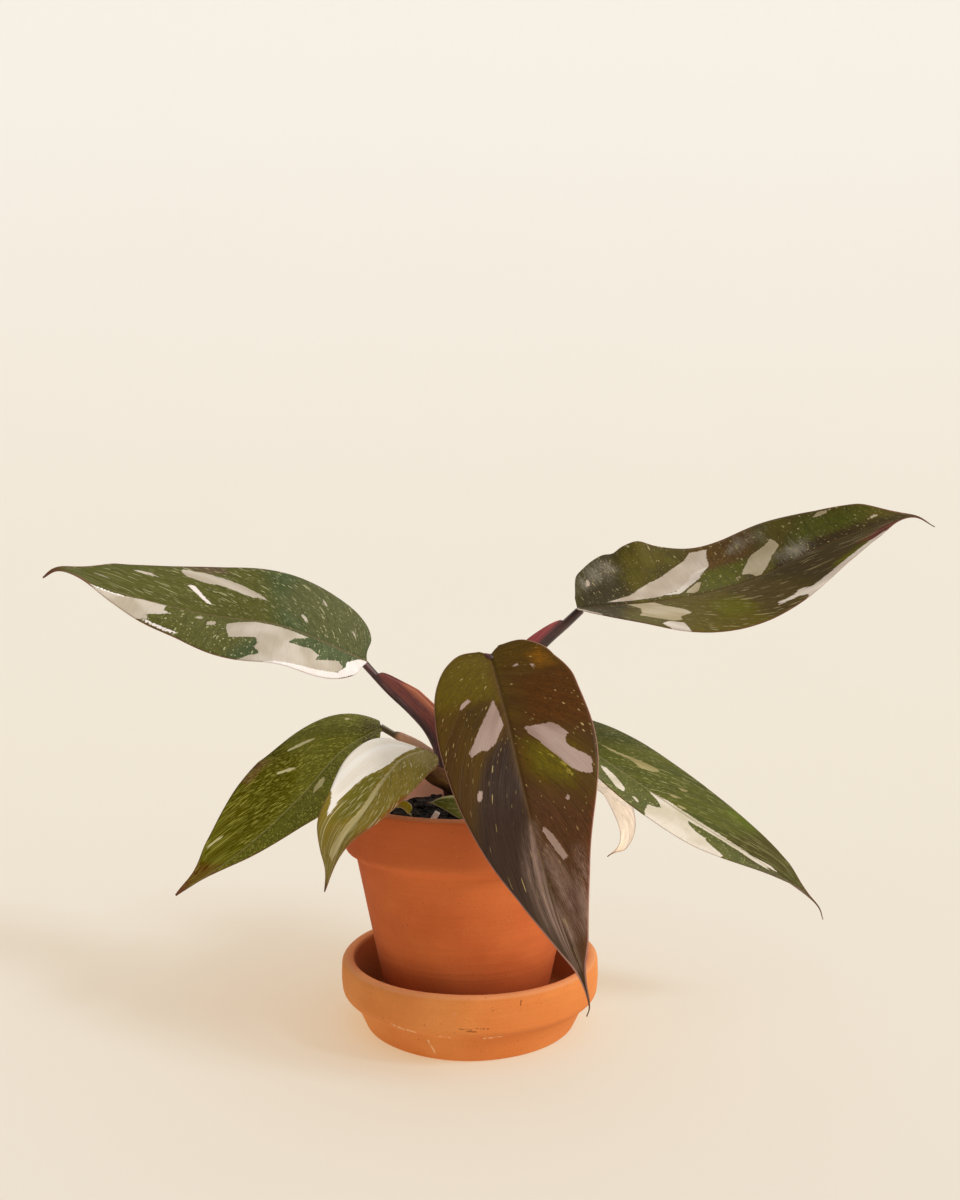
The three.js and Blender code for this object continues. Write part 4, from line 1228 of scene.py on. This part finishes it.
def saucer_piece():
    _, high = millimetres("saucer")
    radius, top = high.x, high.z
    inside = radius - SAUCER_LIP
    floor_radius = inside - SAUCER_SLOPE
    profile = rounded_profile([
        (0, 0, 0), (SAUCER_BASE, 0, 1.5),
        (radius - SAUCER_BAND_DEPTH, SAUCER_BAND_BOTTOM - 2, 1.2),
        (radius - 0.7, SAUCER_BAND_BOTTOM + 0.6, 2.2), (radius, SAUCER_BAND_BOTTOM + 7, 2.5),
        (radius - 0.2, top, 3.0), (inside + 0.4, top, 2.6), (floor_radius, SAUCER_FLOOR, 3.5),
        (0, SAUCER_FLOOR, 0),
    ])
    bm = turned(profile)
    uneven(bm, size_mm=26, depth_mm=0.5, centre_x=0, seed=1)
    dark_dish = (floor_radius - 0.9, SAUCER_WALL_LEAN, SAUCER_FLOOR)
    finish = clay_finish("clay_saucer", rgb(242, 160, 88), rgb(220, 128, 62), top, SAUCER_SCUFFS,
                         SAUCER_CRACKS, dark_dish=dark_dish)
    piece = finished("saucer_dish", bm, [finish])
    stands_for(piece, "saucer")


def pot_piece():
    low, high = millimetres("pot")
    radius = (high.x - low.x) / 2
    centre_x = (high.x + low.x) / 2
    bottom, top = low.z, high.z

    def outside(height):
        """The radius of the wall below the rim band."""
        rise = (height - bottom) / (POT_BAND_BOTTOM - bottom)
        return POT_BASE + rise * (radius - POT_BAND_DEPTH - POT_BASE)

    profile = rounded_profile([
        (POT_DRAIN, bottom, 0), (POT_BASE, bottom, 1.2),
        (outside(POT_UNDER_BAND), POT_UNDER_BAND, 1.6),
        (radius - 0.6, POT_BAND_BOTTOM + 0.4, 1.8), (radius - 0.2, top, 2.2),
        (radius - POT_WALL + 0.4, top, 2.0),
        (outside(POT_INSIDE_BEND) - POT_THIN_WALL, POT_INSIDE_BEND, 3.0),
        (outside(POT_INSIDE_FLOOR) - POT_WALL, POT_INSIDE_FLOOR, 3.0),
        (POT_DRAIN, POT_INSIDE_FLOOR, 0),
    ])
    bm = turned(profile, centre_x, closed=True)
    uneven(bm, size_mm=30, depth_mm=0.45, centre_x=centre_x, seed=2)
    finish = clay_finish("clay_pot", rgb(220, 117, 59), rgb(190, 88, 39), top, POT_SCUFFS,
                         dark_foot=POT_DARK_FOOT, band_shade_from=POT_BAND_SHADE_FROM,
                         salts=(radius - 3.5, POT_BAND_SHADE_FROM))
    piece = finished("pot_wall", bm, [finish])
    stands_for(piece, "pot")
    return centre_x


# Soil and stem

SOIL_LEVEL = 95.0
SOIL_ROUGH_FROM = 90.0
SOIL_BRINK = 50.2
SOIL_WAIST = 46.4
SOIL_FOOT = 32.6
CRUMBS = 650
CRUMB_SEED = 11
STEM_RINGS = (18.5, 10.5)
STEM_GROOVE = 0.6


def soil_finish():
    m = Finish("potting_soil")
    place = m.place()
    lumps = m.grain(place, (320, 320, 320), detail=3, rough=0.6)
    grain = m.grain(place, (1400, 1400, 1400), detail=2)
    colour = m.mix(m.step(lumps, 0.45, 0.7), rgb(12, 9, 7), rgb(62, 47, 36))
    colour = m.over(colour, m.step(grain, 0.66, 0.74), rgb(112, 84, 62), 0.6)
    relief = m.bump(grain, 0.5, m.bump(lumps, 0.8))
    m.set(base_color=colour, roughness=m.ramp(grain, 0.2, 0.75), normal=relief)
    m.shine(0.15)
    return m.material


def soil_piece(centre_x):
    """The soil, with crumbs lying on it."""
    low, _ = millimetres("soil")
    profile = rounded_profile([
        (0, low.z, 0), (SOIL_FOOT, low.z, 0), (SOIL_WAIST, POT_INSIDE_BEND, 0),
        (SOIL_BRINK, SOIL_LEVEL - 2.5, 1.5), (SOIL_BRINK - 2.5, SOIL_LEVEL, 2.0),
        (0, SOIL_LEVEL, 0),
    ], longest=1.4)
    bm = turned(profile, centre_x, steps=180)
    for vert in bm.verts:
        z = vert.co.z / MM
        if z < SOIL_ROUGH_FROM:
            continue
        lump = noise.noise(vert.co * 260) * 1.5 + noise.noise(vert.co * 700) * 0.7
        vert.co.z += lump * MM * smoothstep(z, SOIL_ROUGH_FROM, SOIL_LEVEL - 0.5)
    draw = random.Random(CRUMB_SEED)
    for _ in range(CRUMBS):
        away = (SOIL_BRINK - 1.5) * math.sqrt(draw.random())
        angle = draw.uniform(0, math.tau)
        size = 0.5 + 2.1 * draw.random() ** 3
        place = Vector((centre_x + away * math.cos(angle), away * math.sin(angle),
                        SOIL_LEVEL + 0.1))
        turn = Matrix.Rotation(draw.uniform(0, math.tau), 4, Vector((1, 2, 3)).normalized())
        flat = Matrix.Diagonal((1, draw.uniform(0.5, 1), draw.uniform(0.5, 0.9), 1))
        matrix = Matrix.Translation(place * MM) @ turn @ flat
        bmesh.ops.create_icosphere(bm, subdivisions=1, radius=size * MM, matrix=matrix)
    piece = finished("soil_bed", bm, [soil_finish()])
    stands_for(piece, "soil")


def stem_piece():
    low, high = millimetres("stem")
    radius = (high.y - low.y) / 2
    centre_x = (high.x + low.x) / 2
    top = high.z
    profile = [(0, low.z, 0), (radius - 1.2, low.z, 0), (radius - 0.6, low.z + 6, 0)]
    for below in STEM_RINGS:
        profile += [(radius - STEM_GROOVE, top - below - 1.2, 0.6), (radius, top - below, 0.8),
                    (radius - STEM_GROOVE, top - below + 1.2, 0.6)]
    profile += [(radius - 2.2, top - 2.2, 1.5), (radius * 0.3, top, 1.0), (0, top, 0)]
    bm = turned(rounded_profile(profile, longest=1.5), centre_x, steps=48)
    uneven(bm, size_mm=5, depth_mm=0.5, centre_x=centre_x, seed=3)
    m = Finish("main_stem")
    place = m.place()
    lines = m.grain(place, (500, 500, 90), detail=3)
    colour = m.mix(m.step(lines, 0.4, 0.6), rgb(84, 40, 34), rgb(52, 30, 22))
    m.set(base_color=colour, roughness=m.ramp(lines, 0.3, 0.4), normal=m.bump(lines, 0.3))
    piece = finished("stem_core", bm, [m.material])
    stands_for(piece, "stem")


# The set

SET_FLOOR_LENGTH = 2.4
SET_FLOOR_FRONT = -1.5
SET_SWEEP_RADIUS = 1.2
SET_WALL = 2.2
SET_WIDTH = 3.0


def set_piece():
    """A pale floor that sweeps up into a backdrop."""
    bm = bmesh.new()
    bmesh.ops.create_grid(bm, x_segments=8, y_segments=90, size=1)
    bend = SET_SWEEP_RADIUS * math.pi / 2
    whole = SET_FLOOR_LENGTH + bend + SET_WALL
    back = SET_FLOOR_FRONT + SET_FLOOR_LENGTH
    for vert in bm.verts:
        run = (vert.co.y + 1) / 2 * whole
        x = vert.co.x * SET_WIDTH
        if run < SET_FLOOR_LENGTH:
            y, z = SET_FLOOR_FRONT + run, 0
        elif run < SET_FLOOR_LENGTH + bend:
            turn = (run - SET_FLOOR_LENGTH) / SET_SWEEP_RADIUS
            y = back + SET_SWEEP_RADIUS * math.sin(turn)
            z = SET_SWEEP_RADIUS * (1 - math.cos(turn))
        else:
            y = back + SET_SWEEP_RADIUS
            z = SET_SWEEP_RADIUS + run - SET_FLOOR_LENGTH - bend
        vert.co = (x, y, z)
    for face in bm.faces:
        face.smooth = True
    m = Finish("set_paper")
    place = m.place()
    drift = m.grain(place, (3, 3, 3), detail=2)
    fibre = m.grain(place, (700, 700, 700), detail=2)
    colour = m.mix(drift, rgb(152, 179, 192), rgb(150, 177, 190))
    _, _, height = m.split(place)
    # The paper glows: painted light, warm and brighter up the backdrop, that lifts and warms the
    # shadows cast on the floor. Its own colour is a cool pale blue-grey.
    glow = m.mix(m.step(height, 0.0, 1.7), rgb(195, 160, 121), rgb(214, 192, 173))
    m.set(base_color=colour, roughness=m.ramp(fibre, 0.1, 0.85),
          normal=m.bump(fibre, 0.02), emission_color=glow, emission_strength=1.0)
    m.shine(0.2)
    floor = finished("set_floor", bm, [m.material])


KEY_WAY = (0.68, -0.37, 0.61)
KEY_SPREAD_DEGREES = 15
KEY_STRENGTH = 1.3
GLOW_EDGE = 0.05
ROOM_GLOW = 0.3
ROOM_SEEN = 0.86
KEY_GLOW = 1.02


def key_light():
    """A broad lamp far off to the right, a little in front."""
    light = bpy.data.lights.new("key_light", "SUN")
    light.energy = KEY_STRENGTH
    light.angle = math.radians(KEY_SPREAD_DEGREES)
    light.color = rgb(255, 250, 243)[:3]
    lamp = bpy.data.objects.new("key_light", light)
    lamp.rotation_euler = Vector(KEY_WAY).to_track_quat("Z", "Y").to_euler()
    bpy.context.scene.collection.objects.link(lamp)


def room_light():
    """A pale room that gives most light round the way the key light comes from."""
    world = bpy.data.worlds.new("pale_room")
    world.use_nodes = True
    nodes = world.node_tree.nodes
    links = world.node_tree.links
    sky = nodes["Background"]
    sky.inputs["Color"].default_value = rgb(255, 250, 242)
    toward_key = nodes.new("ShaderNodeVectorMath")
    toward_key.operation = "DOT_PRODUCT"
    toward_key.inputs[1].default_value = KEY_WAY
    glow = nodes.new("ShaderNodeMapRange")
    glow.interpolation_type = "SMOOTHSTEP"
    for socket, value in (("From Min", GLOW_EDGE), ("From Max", 1.0), ("To Min", ROOM_GLOW),
                          ("To Max", KEY_GLOW)):
        glow.inputs[socket].default_value = value
    links.new(nodes.new("ShaderNodeTexCoord").outputs["Generated"], toward_key.inputs[0])
    links.new(toward_key.outputs["Value"], glow.inputs["Value"])
    seen = nodes.new("ShaderNodeMix")
    seen.inputs[3].default_value = ROOM_SEEN
    links.new(nodes.new("ShaderNodeLightPath").outputs["Is Camera Ray"], seen.inputs[0])
    links.new(glow.outputs[0], seen.inputs[2])
    links.new(seen.outputs[0], sky.inputs["Strength"])
    bpy.context.scene.world = world


# The camera stands level, a little to the right of the axis. Its place and lens, and SAUCER_BASE,
# weren't chosen by hand. They come from a least-squares solve on the edges of the pot and saucer
# in the photograph, rounded.
CAMERA_PLACE = (4.5, -486, 195.7)
SENSOR = 36
LENS = 31.02


def camera():
    data = bpy.data.cameras.new("front_camera")
    data.sensor_width = SENSOR
    data.lens = LENS
    view = bpy.data.objects.new("front_camera", data)
    view.location = Vector(CAMERA_PLACE) * MM
    view.rotation_euler = (math.pi / 2, 0, 0)
    bpy.context.scene.collection.objects.link(view)
    bpy.context.scene.camera = view
    bpy.context.scene.view_settings.view_transform = "Standard"


# Everything, from the ground up

camera()
set_piece()
key_light()
room_light()
saucer_piece()
pot_centre = pot_piece()
soil_piece(pot_centre)
stem_piece()

BURGUNDY = stalk_finish(
    "stalk_burgundy", (rgb(96, 44, 48), rgb(52, 26, 28)), rgb(176, 122, 114),
    sheath=(rgb(138, 70, 56), rgb(104, 42, 42)), brim=(rgb(190, 112, 78), 5.6, 8.0))
RED_SHEATH = stalk_finish(
    "stalk_red", (rgb(84, 48, 42), rgb(56, 34, 30)), rgb(178, 112, 108),
    sheath=(rgb(150, 52, 52), rgb(118, 42, 44)))
BROWN = stalk_finish(
    "stalk_brown", (rgb(122, 92, 50), rgb(88, 58, 36)), rgb(158, 118, 76),
    sheath=(rgb(116, 78, 48), rgb(86, 50, 34)))
TAN = stalk_finish(
    "stalk_tan", (rgb(236, 184, 144), rgb(214, 160, 120)), rgb(252, 224, 200),
    sheath=(rgb(246, 202, 172), rgb(230, 178, 144)), end=(rgb(92, 78, 44), 42, 45))
DRY = stalk_finish("stalk_dry", (rgb(196, 166, 122), rgb(156, 122, 82)), rgb(216, 192, 154))
YOUNG = stalk_finish("stalk_young", (rgb(128, 122, 62), rgb(98, 92, 42)), rgb(160, 150, 96))
CUT = stalk_finish("stalk_cut", (rgb(252, 238, 230), rgb(240, 218, 208)), rgb(255, 246, 240))

LEAF_GRID = {"rows": 180, "columns": 88}
SMALL_LEAF_GRID = {"rows": 60, "columns": 24}
STALK_GRID = {"steps": 90, "around": 52}
CUT_STALK_GRID = {"steps": 30, "around": 40}

LEAF_SLOTS = {
    "upper_left": "leaf_green_cream", "upper_right": "leaf_olive_pink",
    "front": "leaf_maroon_pink", "lower_left": "leaf_speckled_green",
    "lower_right": "leaf_speckled_green", "low_front_left": "leaf_half_white",
    "dried": "leaf_dried", "soil_leaf": "leaf_young", "sprout": "leaf_young",
}
for leaf_name, leaf_slot in LEAF_SLOTS.items():
    grid = SMALL_LEAF_GRID if leaf_name in SMALL_LEAVES else LEAF_GRID
    stands_for(leaf_piece(leaf_name, **grid), "leaf_" + leaf_name)

STALK_FINISHES = {
    "upper_left": ("stalk_burgundy", BURGUNDY), "upper_right": ("stalk_burgundy", RED_SHEATH),
    "front": ("stalk_burgundy", BURGUNDY), "low_front_left": ("stalk_brown", BROWN),
    "lower_right": ("stalk_brown", BROWN), "lower_left": ("stalk_tan", TAN),
    "dried": ("stalk_dry", DRY), "soil_leaf": ("stalk_young", YOUNG),
    "sprout": ("stalk_young", YOUNG),
}
for stalk_name, (stalk_slot, stalk_material) in STALK_FINISHES.items():
    stalk = stalk_piece("petiole_" + stalk_name, STALKS[stalk_name], stalk_material, **STALK_GRID)
    stands_for(stalk, "stalk_" + stalk_name)
cut_stalk = stalk_piece("petiole_cut", CUT_STALK, CUT, **CUT_STALK_GRID)
stands_for(cut_stalk, "old_stalk")
